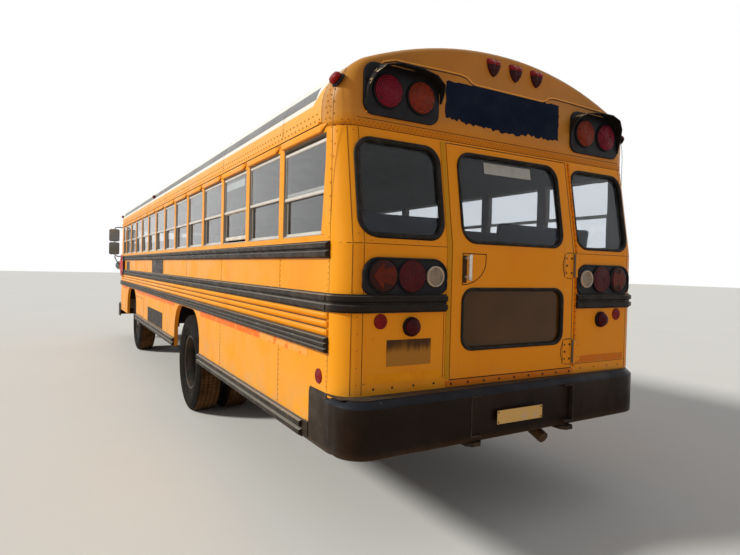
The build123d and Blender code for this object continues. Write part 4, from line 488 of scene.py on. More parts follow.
MATERIALS = {
    "body": body_paint("body_paint"),
    "rivet": plain_tape("rivet_heads", (0.42, 0.165, 0.014), (0.26, 0.11, 0.02)),
    "roof": body_paint("roof_paint", white_roof=True),
    "cap": body_paint("cap_paint", shaded_top=True),
    "rail": black_paint("rail_paint", (0.022, 0.017, 0.013), 1.0, 0.8, 0.8),
    "bumper": bumper_paint("bumper_paint"),
    "lid": black_paint("lid_paint", (0.010, 0.008, 0.006), 0.12),
    "end_plate": black_paint("end_plate_paint", (0.022, 0.014, 0.008), 0.3),
    "black": black_paint("black_trim"),
    "groove": rubber("groove_shadow", (0.055, 0.026, 0.008)),
    "gasket": rubber("window_rubber", (0.012, 0.010, 0.009)),
    "tyre": tyre_rubber("worn_tyre"),
    "rim": iron("rim_paint", (0.020, 0.019, 0.018), 0.35, 0.2, 0.5),
    "hub": iron("hub_iron", (0.16, 0.15, 0.14), 0.6, 0.7, 0.45),
    "chassis": iron("chassis_paint", (0.016, 0.015, 0.015), 0.35),
    "axle": iron("axle_iron", (0.030, 0.026, 0.023), 0.55),
    "engine": iron("engine_iron", (0.05, 0.052, 0.05), 0.5),
    "galvanised": iron("galvanised", (0.36, 0.35, 0.34), 0.5, 0.8, 0.42),
    "chrome": alloy("worn_chrome", (0.62, 0.60, 0.57), 0.25, 0.55),
    "exhaust": iron("sooty_exhaust", (0.020, 0.015, 0.012), 0.5),
    "alloy": alloy("sash_alloy"),
    "channel": alloy("channel_alloy", (0.27, 0.26, 0.24), 0.5, 0.3),
    "white_bar": plain_tape("white_sash", (0.72, 0.70, 0.66), (0.48, 0.44, 0.38)),
    "glass": glass("window_glass", (0.80, 0.82, 0.82), 0.10, 1.5),
    "rear_glass": glass("rear_glass", (0.80, 0.84, 0.90), 0.05, 1.24),
    "low_glass": glass("low_glass", (0.135, 0.070, 0.016), 1.0, 1.30, (0.19, 0.098, 0.028), 0.5),
    "mirror": alloy("mirror_glass", (0.20, 0.23, 0.24), 0.12, 1.0),
    "red": lens("lens_red", (0.19, 0.002, 0.026), (0.075, 0.003, 0.012)),
    "bright_red": lens("lens_bright_red", (0.26, 0.006, 0.010), (0.16, 0.006, 0.009)),
    "tail_red": lens("lens_tail_red", (0.085, 0.004, 0.008), (0.040, 0.003, 0.005)),
    "maroon": lens("lens_maroon", (0.045, 0.006, 0.010), (0.03, 0.006, 0.008)),
    "amber": lens("lens_amber", (0.24, 0.032, 0.012), (0.11, 0.013, 0.008)),
    "arrow": lens("lens_arrow", (0.13, 0.015, 0.002), (0.06, 0.008, 0.002)),
    "dark_amber": lens("lens_dark", (0.040, 0.008, 0.006), (0.02, 0.006, 0.005)),
    "clear": lens("lens_clear", (0.36, 0.345, 0.32), (0.15, 0.14, 0.12)),
    # A pale lens colour for the reverse lamps' rims: a painted highlight on them.
    "clear_rim": lens("lens_rim_painted_highlight", (0.62, 0.60, 0.57), (0.42, 0.38, 0.33)),
    "seat": vinyl("seat_vinyl", (0.013, 0.017, 0.028)),
    "dash": plastic("dash_plastic", (0.030, 0.030, 0.032)),
    "mirror_case": plastic("mirror_case", (0.012, 0.012, 0.012), 0.42),
    "hood": hood_paint("lamp_hood"),
    "lamp_black": plastic("lamp_black", (0.007, 0.007, 0.010), 0.45),
    "covering": floor_covering("floor_covering"),
    "slats": slatted("slatted_panel"),
    "tape": reflective_strip("orange_tape"),
    "navy": sprayed_patch("sprayed_blue"),
    "streaks": streaked_patch("streaked_residue"),
    "label": plain_tape("white_label", (0.42, 0.50, 0.56), (0.34, 0.41, 0.46)),
    "plate": plain_tape("cream_plate", (0.66, 0.50, 0.20), (0.56, 0.50, 0.40)),
    "orange": plain_tape("orange_strip", (0.66, 0.19, 0.010), (0.62, 0.24, 0.025)),
    "bright_yellow": plain_tape("yellow_strip", (0.88, 0.38, 0.008), (0.80, 0.30, 0.008)),
    "seal": ribbed_seal("door_seal"),
    "knuckles": hinge_strip("hinge_knuckles"),
    "bolt": iron("bolt_heads", (0.045, 0.026, 0.014), 0.7, 0.4, 0.5),
    "sign_red": plain_tape("sign_red", (0.50, 0.010, 0.012), (0.36, 0.012, 0.012)),
    "sign_white": plain_tape("sign_white", (0.72, 0.72, 0.70), (0.55, 0.52, 0.48)),
}

NODE_MATERIALS = {
    "body": ("side_wall_left", "side_wall_right", "rear_wall", "front_wall", "emergency_door",
             "entry_door_front", "entry_door_rear", "door_hinges"),
    "cap": ("front_cap",),
    "roof": ("roof",),
    "rail": ("rub_rails",),
    "bumper": ("front_bumper",),
    "rear_glass": ("entry_glass_front", "entry_glass_rear"),
    "covering": ("floor", "step_well"),
    "chassis": ("frame_rails", "crossmembers", "battery_box", "leaf_springs", "wheelhouses"),
    "axle": ("front_axle", "rear_axle", "knuckle_left", "knuckle_right", "driveshaft"),
    "engine": ("engine",),
    "galvanised": ("fuel_tank",),
    "exhaust": ("exhaust",),
    "dash": ("dashboard", "engine_cover", "steering_wheel"),
    "black": ("grille", "seat_legs"),
    "seat": ("seat_boards",),
    "sign_red": ("stop_arm",),
}
for key, nodes in NODE_MATERIALS.items():
    for node in nodes:
        for material_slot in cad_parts[node].material_slots:
            material_slot.material = MATERIALS[key]


# Building pieces
class Piece:
    """Gathers faces for one piece, in the row frame."""

    def __init__(self):
        self.points = []
        self.faces = []
        self.marks = []
        self.uvs = []

    def add(self, points, faces, smooth=False, uv=None):
        """Faces over new points; uv gives one pair for each point."""
        base = len(self.points)
        self.points += [Vector(p) for p in points]
        for face in faces:
            self.faces.append([base + i for i in face])
            self.marks.append(smooth)
        self.uvs += uv or [(0.0, 0.0)] * len(points)

    def grid(self, rings, closed=True, smooth=True, caps=False):
        """Quads between rings of points; each ring is closed, caps close the two ends."""
        count = len(rings[0])
        points = [p for ring in rings for p in ring]
        faces = []
        for n in range(len(rings) - 1):
            for i in range(count if closed else count - 1):
                j = (i + 1) % count
                faces.append((n * count + i, n * count + j, (n + 1) * count + j, (n + 1) * count + i))
        self.add(points, faces, smooth)
        if caps:
            self.add(rings[0], [list(range(count))[::-1]])
            self.add(rings[-1], [list(range(count))])

    def lathe(self, profile, place, steps=32, smooth=True):
        """A turned shape from (radius, height) points; place puts its axis along local Z."""
        self.grid([circle(place, radius, steps, height) for radius, height in profile], smooth=smooth)

    def tube(self, path, radius, sides=10):
        """A round bar along points, closed at both ends."""
        path = [Vector(p) for p in path]
        turn = [2 * math.pi * k / sides for k in range(sides)]
        rings = []
        side = None
        for n, point in enumerate(path):
            along = (path[min(n + 1, len(path) - 1)] - path[max(n - 1, 0)]).normalized()
            if side is None:
                side = along.orthogonal().normalized()
            side = (side - along * side.dot(along)).normalized()
            other = along.cross(side)
            rings.append([point + radius * (math.cos(a) * side + math.sin(a) * other) for a in turn])
        self.grid(rings, caps=True)

    def sweep(self, spots, profile, closed=True, smooth=False):
        """A section of (sideways, outward) points carried along places that come with their normals."""
        rings = []
        count = len(spots)
        path = [Vector(p) for p, _ in spots]
        for n, here in enumerate(path):
            normal = Vector(spots[n][1]).normalized()
            before = here - path[n - 1] if closed or n else None
            after = path[(n + 1) % count] - here if closed or n + 1 < count else None
            first = (before or after).normalized()
            last = (after or before).normalized()
            along = (first + last).normalized()
            side = normal.cross(along).normalized()
            stretch = 1 / max(0.35, along.dot(first))
            rings.append([here + side * a * stretch + normal * b for a, b in profile])
        if closed:
            rings.append(rings[0])
        self.grid(rings, smooth=smooth, caps=not closed)

    def plate(self, outline, normal, thickness, bevel=0.0):
        """A flat plate: an outline of points raised along a normal, its upper edge drawn in."""
        normal = Vector(normal).normalized()
        low = [Vector(p) for p in outline]
        middle = sum(low, Vector()) / len(low)
        rise = normal * thickness
        if bevel:
            mid = [p + rise - normal * bevel for p in low]
            top = [p + rise + (middle - p).normalized() * bevel for p in low]
            self.grid([low, mid, top], smooth=False)
        else:
            top = [p + rise for p in low]
            self.grid([low, top], smooth=False)
        self.add(top, [list(range(len(top)))])
        self.add(low, [list(range(len(low)))[::-1]])

    def block(self, low, high, bevel):
        """A box between two corners with its edges cut."""
        (x0, y0, z0), (x1, y1, z1) = low, high
        b = bevel
        rings = []
        for z, i in ((z0, b), (z0 + b, 0), (z1 - b, 0), (z1, b)):
            back, front, right, left = x0 + i, x1 - i, y0 + i, y1 - i
            rings.append([
                (back + b, right, z), (front - b, right, z), (front, right + b, z), (front, left - b, z),
                (front - b, left, z), (back + b, left, z), (back, left - b, z), (back, right + b, z),
            ])
        self.grid(rings, smooth=False, caps=True)

    def make(self, name, material, body=BODY, slot=None, replaces=(), soften=0.0):
        """The finished object, riding on its body."""
        mesh = bpy.data.meshes.new(name)
        mesh.from_pydata(self.points, [], self.faces)
        mesh.polygons.foreach_set("use_smooth", self.marks)
        layer = mesh.uv_layers.new(name="unwrapped")
        for loop in mesh.loops:
            layer.data[loop.index].uv = self.uvs[loop.vertex_index]
        shape = bmesh.new()
        shape.from_mesh(mesh)
        bmesh.ops.remove_doubles(shape, verts=shape.verts, dist=1e-5)
        bmesh.ops.recalc_face_normals(shape, faces=shape.faces)
        shape.to_mesh(mesh)
        shape.free()
        mesh.materials.append(MATERIALS[material])
        obj = placed(name, mesh)
        if soften:
            bevel = obj.modifiers.new("edges", "BEVEL")
            bevel.width = soften
            bevel.segments = 2
            bevel.limit_method = "ANGLE"
        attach(obj, body)
        if replaces:
            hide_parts(*replaces)
        return obj


def placed(name, data):
    """A new object in the scene."""
    obj = bpy.data.objects.new(name, data)
    bpy.context.scene.collection.objects.link(obj)
    return obj


def facing(point, direction):
    """A place whose local Z looks along a direction."""
    turn = Vector(direction).to_track_quat("Z", "Y").to_matrix().to_4x4()
    return Matrix.Translation(Vector(point)) @ turn


def circle(place, radius, steps, height=0.0):
    """Points round the local Z of a place."""
    turn = [2 * math.pi * n / steps for n in range(steps)]
    return [place @ Vector((radius * math.cos(a), radius * math.sin(a), height)) for a in turn]


def flat(points, normal):
    """Places on a plane: points that all have the same normal."""
    return [(p, normal) for p in points]


def rectangle(u0, u1, v0, v1):
    """The four corners of a rectangle."""
    return [(u0, v0), (u1, v0), (u1, v1), (u0, v1)]


def rounded(x0, x1, y0, y1, radius, steps=6):
    """The outline of a rectangle with round corners."""
    points = []
    corners = ((x1 - radius, y1 - radius, 0), (x0 + radius, y1 - radius, 90),
               (x0 + radius, y0 + radius, 180), (x1 - radius, y0 + radius, 270))
    for cx, cy, start in corners:
        for n in range(steps + 1):
            a = math.radians(start + 90 * n / steps)
            points.append((cx + radius * math.cos(a), cy + radius * math.sin(a)))
    return points


def steps_between(low, high, spacing):
    """Evenly spaced values from one limit to the other."""
    count = max(1, round((high - low) / spacing))
    return [low + (high - low) * n / count for n in range(count + 1)]


def end_place(y, z, out, end_x, outward, bend_z, lean, corner):
    """A point on one end of the body, with its normal; outward is -1 at the rear and 1 in front."""
    rise = clamp((z - bend_z) / (HEADER_Z - bend_z), 0, 1)
    x = end_x - outward * lean * rise
    tilt = math.atan2(lean, HEADER_Z - bend_z) if 0 < rise < 1 else 0.0
    normal = Vector((outward * math.cos(tilt), 0, math.sin(tilt)))
    past = abs(y) - (HALF_WIDTH - corner)
    if past > 0:
        turn = math.asin(min(1, past / corner))
        x -= outward * corner * (1 - math.cos(turn))
        normal = Vector((outward * math.cos(turn), math.copysign(math.sin(turn), y), normal.z)).normalized()
    return at(x, y, z) + normal * out, normal


def rear_place(y, z, out=0.0):
    """A point on the rear face at a height, with its normal."""
    return end_place(y, z, out, 0.0, -1, REAR_BEND_Z, REAR_LEAN, REAR_CORNER)


def front_place(y, z, out=0.0):
    """A point on the nose, with its normal."""
    return end_place(y, z, out, BODY_LENGTH, 1, FRONT_BEND_Z, FRONT_LEAN, FRONT_CORNER)


def side_place(x, z, side, out=0.0):
    """A point on the side or the shoulder of the roof, with its normal; side is 1 for left."""
    if z <= SHOULDER_Z:
        normal = Vector((0, side, 0))
        y = HALF_WIDTH
    else:
        turn = math.asin(min(1, (z - SHOULDER_Z) / SHOULDER_RADIUS))
        normal = Vector((0, side * math.cos(turn), math.sin(turn)))
        y = HALF_WIDTH - SHOULDER_RADIUS * (1 - math.cos(turn))
    return at(x, side * y, z) + normal * out, normal


def windows(side):
    """Rear and front edge of each window on one side."""
    count = LEFT_PILLARS if side > 0 else RIGHT_PILLARS
    pillars = [FIRST_PILLAR_X + WINDOW_PITCH * n for n in range(count)]
    spans = [(FIRST_WINDOW_X, pillars[0] - PILLAR_HALF)]
    spans += [(a + PILLAR_HALF, b - PILLAR_HALF) for a, b in zip(pillars, pillars[1:])]
    if side > 0:
        spans.append((pillars[-1] + PILLAR_HALF, DRIVER_WINDOW_FRONT))
    return spans


# Windows
BAR_WIDTH = 0.022
BAR = [(0.0, 0.0), (0.0, 0.010), (0.004, 0.014), (0.018, 0.014), (0.022, 0.010), (0.022, 0.0)]
CHANNEL = [(0.0, 0.0), (0.0, 0.040), (-0.004, 0.040), (-0.010, 0.0)]
CHANNEL_INSET = 0.044
UPRIGHT_WIDTH = 0.014
UPRIGHT_DEPTH = 0.012
SASH_INSET = 0.010
UPPER_SASH_Y = 1.199
LOWER_SASH_Y = 1.185
UPPER_PANE_Y = 1.203
LOWER_PANE_Y = 1.189
SILL_BAR_Y = (1.182, 1.2145)
PANE_THICKNESS = 0.004
PUSH_OUT_BAY = 2
NARROW_RUBBER = [(0.004, 0.001), (0.002, 0.007), (-0.005, 0.009), (-0.013, 0.006), (-0.018, -0.004),
                 (-0.015, -0.022)]
WIDE_RUBBER = [(0.004, 0.001), (0.002, 0.007), (-0.006, 0.010), (-0.018, 0.008), (-0.025, -0.004),
               (-0.022, -0.022)]
SCREEN_RUBBER = [(-0.022, 0.001), (-0.018, 0.010), (0.0, 0.013), (0.014, 0.006), (0.014, -0.020)]


def frame_bars(level, upright, x0, x1, z0, z1, y, side, width=BAR_WIDTH):
    """A sash seen from outside: two level bars and two uprights between them."""
    section = [(a * -side * width / BAR_WIDTH, b) for a, b in BAR]
    for low in (z0, z1 - width):
        level.sweep(flat([at(x, side * y, low) for x in (x0, x1)], (0, side, 0)), section, closed=False)
    near, far = sorted((side * y, side * (y + UPRIGHT_DEPTH)))
    for rear in (x0, x1 - UPRIGHT_WIDTH):
        upright.block(at(rear, near, z0 + width), at(rear + UPRIGHT_WIDTH, far, z1 - width), 0.003)


def side_windows():
    """Split sashes of all side windows: an outer upper sash, a lower sash further in, liners and panes."""
    bars, white, liner, panes = (Piece() for _ in range(4))
    for side in SIDES:
        for n, (x0, x1) in enumerate(windows(side)):
            corners = rectangle(x0, x1, SILL_Z, WINDOW_TOP)[::side]
            path = [at(x, side * (HALF_WIDTH - CHANNEL_INSET), z) for x, z in corners]
            liner.sweep(flat(path, (0, side, 0)), CHANNEL)
            drop = 0.022 if n == 0 and side > 0 else 0.0
            lower, raised, width = (white, 0.028, 0.030) if n == PUSH_OUT_BAY else (bars, 0.004, BAR_WIDTH)
            low = SILL_Z + raised
            ends = x0 + SASH_INSET, x1 - SASH_INSET
            heights = MEETING_Z - 0.014 - drop, WINDOW_TOP - 0.006 - drop
            frame_bars(bars, liner, *ends, *heights, UPPER_SASH_Y, side)
            frame_bars(lower, liner, *ends, low, MEETING_Z + 0.012, LOWER_SASH_Y, side, width)
            upper_pane = UPPER_PANE_Y, MEETING_Z - drop, WINDOW_TOP - 0.02 - drop
            for y, z0, z1 in (upper_pane, (LOWER_PANE_Y, low + 0.01, MEETING_Z)):
                near, far = sorted((side * y, side * (y + PANE_THICKNESS)))
                panes.block(at(x0 + 0.02, near, z0), at(x1 - 0.02, far, z1), 0.0005)
            near, far = sorted(side * y for y in SILL_BAR_Y)
            lower.block(at(x0 + 0.002, near, SILL_Z + 0.001), at(x1 - 0.002, far, SILL_Z + 0.009), 0.002)
    bars.make("side_window_sashes", "alloy", slot="bare_steel", replaces=["window_sashes"])
    white.make("push_out_sashes", "white_bar", slot="bare_steel")
    liner.make("window_channels", "channel", slot="bare_steel")
    return panes


def end_windows():
    """Gaskets and panes of the rear and door openings."""
    rubbers, panes, door_rubbers, door_panes, low_pane = (Piece() for _ in range(5))
    openings = [
        (0.56, 1.122, 1.788, 2.33, 0.10, rubbers, panes, WIDE_RUBBER),
        (-1.10, -0.56, 1.78, 2.33, 0.10, rubbers, panes, NARROW_RUBBER),
        (-0.43, 0.43, 1.78, 2.33, 0.10, door_rubbers, door_panes, NARROW_RUBBER),
        (-0.43, 0.43, 1.146, 1.514, 0.08, door_rubbers, low_pane, NARROW_RUBBER),
    ]
    for y0, y1, z0, z1, radius, gasket, pane, profile in openings:
        gasket.sweep([rear_place(y, z) for y, z in rounded(y0, y1, z0, z1, radius)], profile, smooth=True)
        inner = rounded(y0 + 0.004, min(y1, 1.10) - 0.004, z0 + 0.004, z1 - 0.004, radius - 0.004)
        back = [rear_place(y, z, -0.022) for y, z in inner]
        pane.plate([p for p, _ in back], back[0][1], 0.005)
    rubbers.make("rear_window_rubbers", "gasket", slot="tyre_rubber")
    panes.make("rear_panes", "rear_glass", slot="window_glass")
    door_rubbers.make("door_window_rubbers", "gasket", DOOR, "tyre_rubber")
    door_panes.make("door_window_pane", "rear_glass", DOOR, "window_glass", ["emergency_door_glass"])
    low_pane.make("door_lower_pane", "low_glass", DOOR, "window_glass", ["emergency_door_glass"])


def windshield(panes):
    """The two halves of the windshield, bent round the corners, with their rubbers."""
    rubbers = Piece()
    y0, y1, z0, z1 = 0.035, 1.12, 1.40, 2.33
    steps = 14
    edge = 0.003
    for side in SIDES:
        outline = [(y0 + (y1 - y0) * n / steps, z0) for n in range(steps + 1)]
        outline += [(y1 - (y1 - y0) * n / steps, z1) for n in range(steps + 1)]
        rubbers.sweep([front_place(side * y, z) for y, z in outline[::side]], SCREEN_RUBBER)
        across = [side * (y0 + edge + (y1 - y0 - 2 * edge) * n / steps) for n in range(steps + 1)]
        rows = [[front_place(y, z, depth)[0] for y in across]
                for depth in (-0.018, -0.023) for z in (z0 + edge, z1 - edge)]
        for a, b in ((0, 1), (3, 2), (1, 3), (2, 0)):
            panes.grid([rows[a], rows[b]], closed=False, smooth=False)
        for end, order in ((0, (0, 1, 2, 3)), (-1, (3, 2, 1, 0))):
            panes.add([rows[row][end] for row in (0, 1, 3, 2)], [order])
    rubbers.make("windshield_rubbers", "gasket", slot="tyre_rubber")


def wipers():
    """Two wipers that rest on the windshield."""
    piece = Piece()
    for side in SIDES:
        pivot = front_place(side * 0.30, 1.365, 0.004)[0]
        elbow = front_place(side * 0.42, 1.62, 0.030)[0]
        piece.lathe([(0.0, 0.022), (0.012, 0.020), (0.018, 0.0)], facing(pivot, (1, 0, 0)), 12)
        arched = (pivot + elbow) / 2 + Vector((0.02, 0, 0))
        piece.tube([pivot + Vector((0.014, 0, 0)), arched, elbow], 0.006, 6)
        shares = (0, 0.25, 0.5, 0.75, 1)
        blade = [front_place(side * (0.16 + 0.52 * t), 1.44 + 0.36 * t, 0.017)[0] for t in shares]
        piece.tube(blade, 0.006, 6)
        piece.tube([elbow, blade[2]], 0.005, 6)
    piece.make("wipers", "black", slot="black_paint")


# Rivets, seams and ribs
SEAMS_X = [FIRST_PILLAR_X + 2 * WINDOW_PITCH * n for n in range(7)]
HEADER_RIVETS = 168
HEADER_RIVETS_X = 0.33
HEADER_RIVETS_Z = (2.447, 2.482)
FLUTE_RIVETS_Z = (1.262, 1.308, 1.354)
END_RIVETS_Z = (2.397, 2.415)
HEADER_RIVET_PITCH = 0.058
SEAM_RIVET_SPANS = ((0.745, 1.14), (1.49, 1.655), (2.39, 2.54))
CORNER_POST_X = 0.168
CORNER_SEAM_X = 0.154
CAP_SEAM_X = 0.30
END_RIVET_PITCH = 0.029
FLUTES_Z = (1.2655, 1.3105, 1.3555)
FLUTE_REAR_X = 0.152
SEAM_LINE = [(-0.0014, -0.001), (-0.0014, 0.0006), (0.0014, 0.0006), (0.0014, -0.001)]
HATCH = (7.06, 7.93, 0.74, 1.04)
HATCH_LINE = [(-0.003, 0.0), (-0.003, 0.001), (0.003, 0.001), (0.003, 0.0)]
ARCH_REACH = 0.68
ARCH_CLEAR_Z = 1.16
DOORWAY = (9.26, 10.24)
SKIRT_SPAN = (0.726, 1.153)
CORNER_SKIRT_SPAN = (0.945, 1.153)
BELT_SPAN = (1.48, 1.666)
HEADER_SPAN = (2.431, 2.54)
ROOF_SPAN = (2.545, 2.79)


def in_arch(x, z):
    """Whether a place on the side falls in a wheel arch."""
    return any(abs(x - axle) < ARCH_REACH and z < ARCH_CLEAR_Z for axle in (REAR_AXLE_X, FRONT_AXLE_X))


def in_doorway(x, side):
    """Whether a place along the side falls in the entry door."""
    return side < 0 and DOORWAY[0] < x < DOORWAY[1]


def rivet(piece, spot, normal, radius, height):
    """One low rivet head of six sides."""
    place = facing(spot, normal)
    rings = [circle(place, radius, 6, -0.0004), circle(place, radius * 0.62, 6, height)]
    piece.grid(rings)
    piece.add(rings[1], [(0, 1, 2, 3, 4, 5)], True)


def side_rivets(piece, side):
    """The rivets of one side: header, seams, corner post, cap edge and pillars."""
    def row(x, heights, radius, height):
        for z in heights:
            rivet(piece, *side_place(x, z, side), radius, height)

    for line, z in enumerate(HEADER_RIVETS_Z):
        for n in range(HEADER_RIVETS):
            x = HEADER_RIVETS_X + HEADER_RIVET_PITCH * n + HEADER_RIVET_PITCH / 2 * line
            row(x, (z,), 0.0075, 0.0035)
    for x in [x for x in SEAMS_X if not in_doorway(x, side)]:
        for low, high in SEAM_RIVET_SPANS:
            row(x - 0.012, [z for z in steps_between(low, high, 0.034) if not in_arch(x, z)], 0.0055, 0.0025)
        for z in FLUTE_RIVETS_Z:
            rivet(piece, *side_place(x - 0.012, z, side, 0.0225), 0.0045, 0.002)
    for low, high, spacing in ((0.97, 1.14, 0.03), (1.49, 1.65, 0.03), (1.78, 2.37, 0.075)):
        row(CORNER_POST_X, steps_between(low, high, spacing), 0.005, 0.0022)
    for x in (0.185, 0.225):
        for n, z in enumerate(steps_between(2.40, 2.62, 0.033)):
            row(x + 0.018 * (n % 2), (z,), 0.0055, 0.0025)
    for _, front in windows(side):
        row(front + PILLAR_HALF, (1.93, 2.22), 0.005, 0.0025)


def rivets():
    """Rivet rows: header, seams, pillars, corner posts and the bands under the caps."""
    piece = Piece()
    for side in SIDES:
        side_rivets(piece, side)
    for y in steps_between(-1.16, 1.16, END_RIVET_PITCH):
        for line, z in enumerate(END_RIVETS_Z):
            rivet(piece, *rear_place(y + END_RIVET_PITCH / 2 * line, z), 0.0048, 0.0025)
            rivet(piece, *front_place(y + END_RIVET_PITCH / 2 * line, z), 0.0042, 0.002)
    for side in SIDES:
        places = [(y, 1.765) for y in steps_between(0.60, 1.05, 0.15)]
        places += [(1.121, z) for z in steps_between(1.0, 1.36, 0.09) + steps_between(1.80, 2.36, 0.08)]
        for y, z in places:
            rivet(piece, *rear_place(side * y, z), 0.004, 0.0018)
    piece.make("rivets", "rivet", slot="body_yellow")


def seams():
    """Dark joints between panels: thin lines that stand a hair proud."""
    piece = Piece()

    def draw(spots):
        piece.sweep(spots, SEAM_LINE, closed=False)

    for side in SIDES:
        for x in SEAMS_X:
            spans = [BELT_SPAN, HEADER_SPAN]
            if not in_arch(x, 1.0):
                spans.append(SKIRT_SPAN)
            if in_doorway(x, side):
                spans = [HEADER_SPAN]
            for low, high in spans + [ROOF_SPAN]:
                draw([side_place(x, z, side) for z in steps_between(low, high, 0.03)])
        for span in (CORNER_SKIRT_SPAN, BELT_SPAN):
            draw([side_place(CORNER_SEAM_X, z, side) for z in span])
        draw([side_place(CORNER_SEAM_X, z, side) for z in steps_between(1.762, 2.70, 0.05)])
        draw([side_place(CAP_SEAM_X, z, side) for z in steps_between(2.431, 2.78, 0.04)])
        for y in (1.150, 1.093):
            for low, high in ((0.945, 1.378), (1.481, 1.745), (1.755, 2.38)):
                draw([rear_place(side * y, z, 0.0005) for z in steps_between(low, high, 0.1)])
        draw([rear_place(side * y, 1.75, 0.0005) for y in steps_between(0.535, 1.2, 0.03)])
        draw([rear_place(side * y, 1.005, 0.0005) for y in steps_between(0.56, 1.09, 0.1)])
        draw([rear_place(side * 0.56, z, 0.0005) for z in steps_between(1.005, 1.37, 0.1)])
    draw([rear_place(y, HEADER_Z, 0.0008) for y in steps_between(-1.2, 1.2, 0.03)])
    draw([rear_place(y, 2.432, 0.0008) for y in steps_between(-1.1, 1.1, 0.05)])
    draw([front_place(y, HEADER_Z, 0.0008) for y in steps_between(-1.2, 1.2, 0.03)])
    piece.sweep([side_place(x, z, 1) for x, z in rectangle(*HATCH)], HATCH_LINE)
    piece.make("panel_seams", "groove", slot="body_yellow")


def flutes():
    """Three bold ribs pressed into both sides between the seat rail and the floor rail."""
    piece = Piece()
    section = [(-0.0215, 0.002), (-0.017, 0.013), (-0.009, 0.0215), (0.0, 0.0235), (0.009, 0.0215),
               (0.017, 0.013), (0.0215, 0.002)]
    for side, front in ((1, BODY_LENGTH - 0.40), (-1, 9.24)):
        ends = ((FLUTE_REAR_X, 0.1), (FLUTE_REAR_X + 0.02, 1.0), (front - 0.02, 1.0), (front, 0.1))
        for z in FLUTES_Z:
            rings = [[at(x, side * (HALF_WIDTH + b * size), z + a) for a, b in section] for x, size in ends]
            piece.grid(rings, caps=True)
    piece.make("side_flutes", "body", slot="body_yellow")


def visors():
    """Yellow rain hoods over the side windows with slanted rear ends."""
    piece = Piece()
    wall, top = 1.2185, 2.4045
    section = [(wall, top), (1.2368, top), (1.2385, 2.390), (1.2375, 2.368), (1.2300, 2.362), (wall, 2.366)]
    fillet = [(wall, 2.384), (1.2368, top), (wall, top)]
    for side in SIDES:
        bead = [[at(x, side * y, z) for y, z in fillet[::side]] for x in (0.31, 10.21)]
        piece.grid(bead, smooth=False, caps=True)
        for x0, x1 in windows(side):
            ends = ((x0 - 0.005, 0.05), (x0 + 0.045, 1.0), (x1 + 0.01, 1.0), (x1 + 0.03, 0.35))
            rings = []
            for x, size in ends:
                ring = [at(x, side * (wall + (y - wall) * size), top + (z - top) * size) for y, z in section]
                rings.append(ring[::side])
            piece.grid(rings, smooth=False, caps=True)
    piece.make("rain_hoods", "body", slot="body_yellow", soften=0.0015)


# Lamps
CLEARANCE_Y = (0.145, -0.041, -0.228)
CLEARANCE_Z = 2.886
CLEARANCE_FOOT = ((0.006, -0.058, 0.010), (0.026, -0.044, 0.024), (0.044, -0.018, 0.038),
                  (0.054, 0.012, 0.044))
CLEARANCE_TOP = ((0.050, 0.010, 0.046), (0.057, 0.026, 0.046), (0.060, 0.044, 0.036),
                 (0.044, 0.054, 0.020))
LEFT_LOW_LAMP_Y = 0.787
RIGHT_LOW_LAMP_Y = -0.812
LOW_LAMP_Z = 1.300
REAR_REFLECTOR = (0.985, 1.333)
SIDE_REFLECTOR = (0.26, 1.013)
HEADLAMPS_Y = (0.66, 0.86)
HEADLAMP_Z = 0.92
FRONT_TURN_LAMP = (0.87, 1.12)
TAIL_X = -0.0143
TAIL_Z = 1.58
TURN_LAMP_Y = 0.980
TAIL_LAMP_Y = 0.796
REVERSE_LAMP_Y = 0.640
BIG_LENS = 0.088
WARNING_X = 0.0845
WARNING_Z = 2.595
SCREW_CIRCLE = 0.074
PROUD = 0.0003
REARWARD = (-1, 0, 0)
FORWARD = (1, 0, 0)
ARROW = [(0.070, 0.0), (0.008, 0.074), (0.002, 0.034), (-0.058, 0.054), (-0.070, 0.028), (-0.074, 0.0),
         (-0.070, -0.028), (-0.058, -0.054), (0.002, -0.034), (0.008, -0.074)]


def dome(radius, depth, rings=5, flat_share=0.35):
    """A lens profile: a short straight rim and a crowned face."""
    profile = [(radius, 0.0), (radius, depth * flat_share)]
    for n in range(1, rings + 1):
        a = math.pi / 2 * n / rings
        profile.append((radius * math.cos(a), depth * (flat_share + (1 - flat_share) * math.sin(a))))
    return profile


def prismatic(radius, depth, steps=7):
    """A lens profile with concentric steps."""
    profile = [(radius, 0.0), (radius, depth * 0.4)]
    for n in range(steps):
        outer = radius * (1 - n / steps) * 0.97
        inner = radius * (1 - (n + 1) / steps) * 0.97
        lift = depth * (0.45 + 0.55 * (1 - ((outer + inner) / 2 / radius) ** 2))
        profile += [(outer, lift), (max(inner, 0.0) + 0.0015 * (n < steps - 1), lift + 0.001)]
        if n < steps - 1:
            profile.append((inner + 0.0008, lift - 0.0012))
    profile.append((0.0, depth))
    return profile


def lamp(piece, spot, normal, radius, depth, steps=36):
    """One round lens with concentric steps."""
    piece.lathe(prismatic(radius, depth), facing(spot, normal), steps)


def bezel(piece, spot, normal, radius, width, height):
    """A round rim round a lens."""
    profile = [(radius + width, 0.0), (radius + width * 0.9, height * 0.8), (radius + width * 0.5, height),
               (radius + 0.001, height * 0.8), (radius, 0.0)]
    piece.lathe(profile, facing(spot, normal), 36)


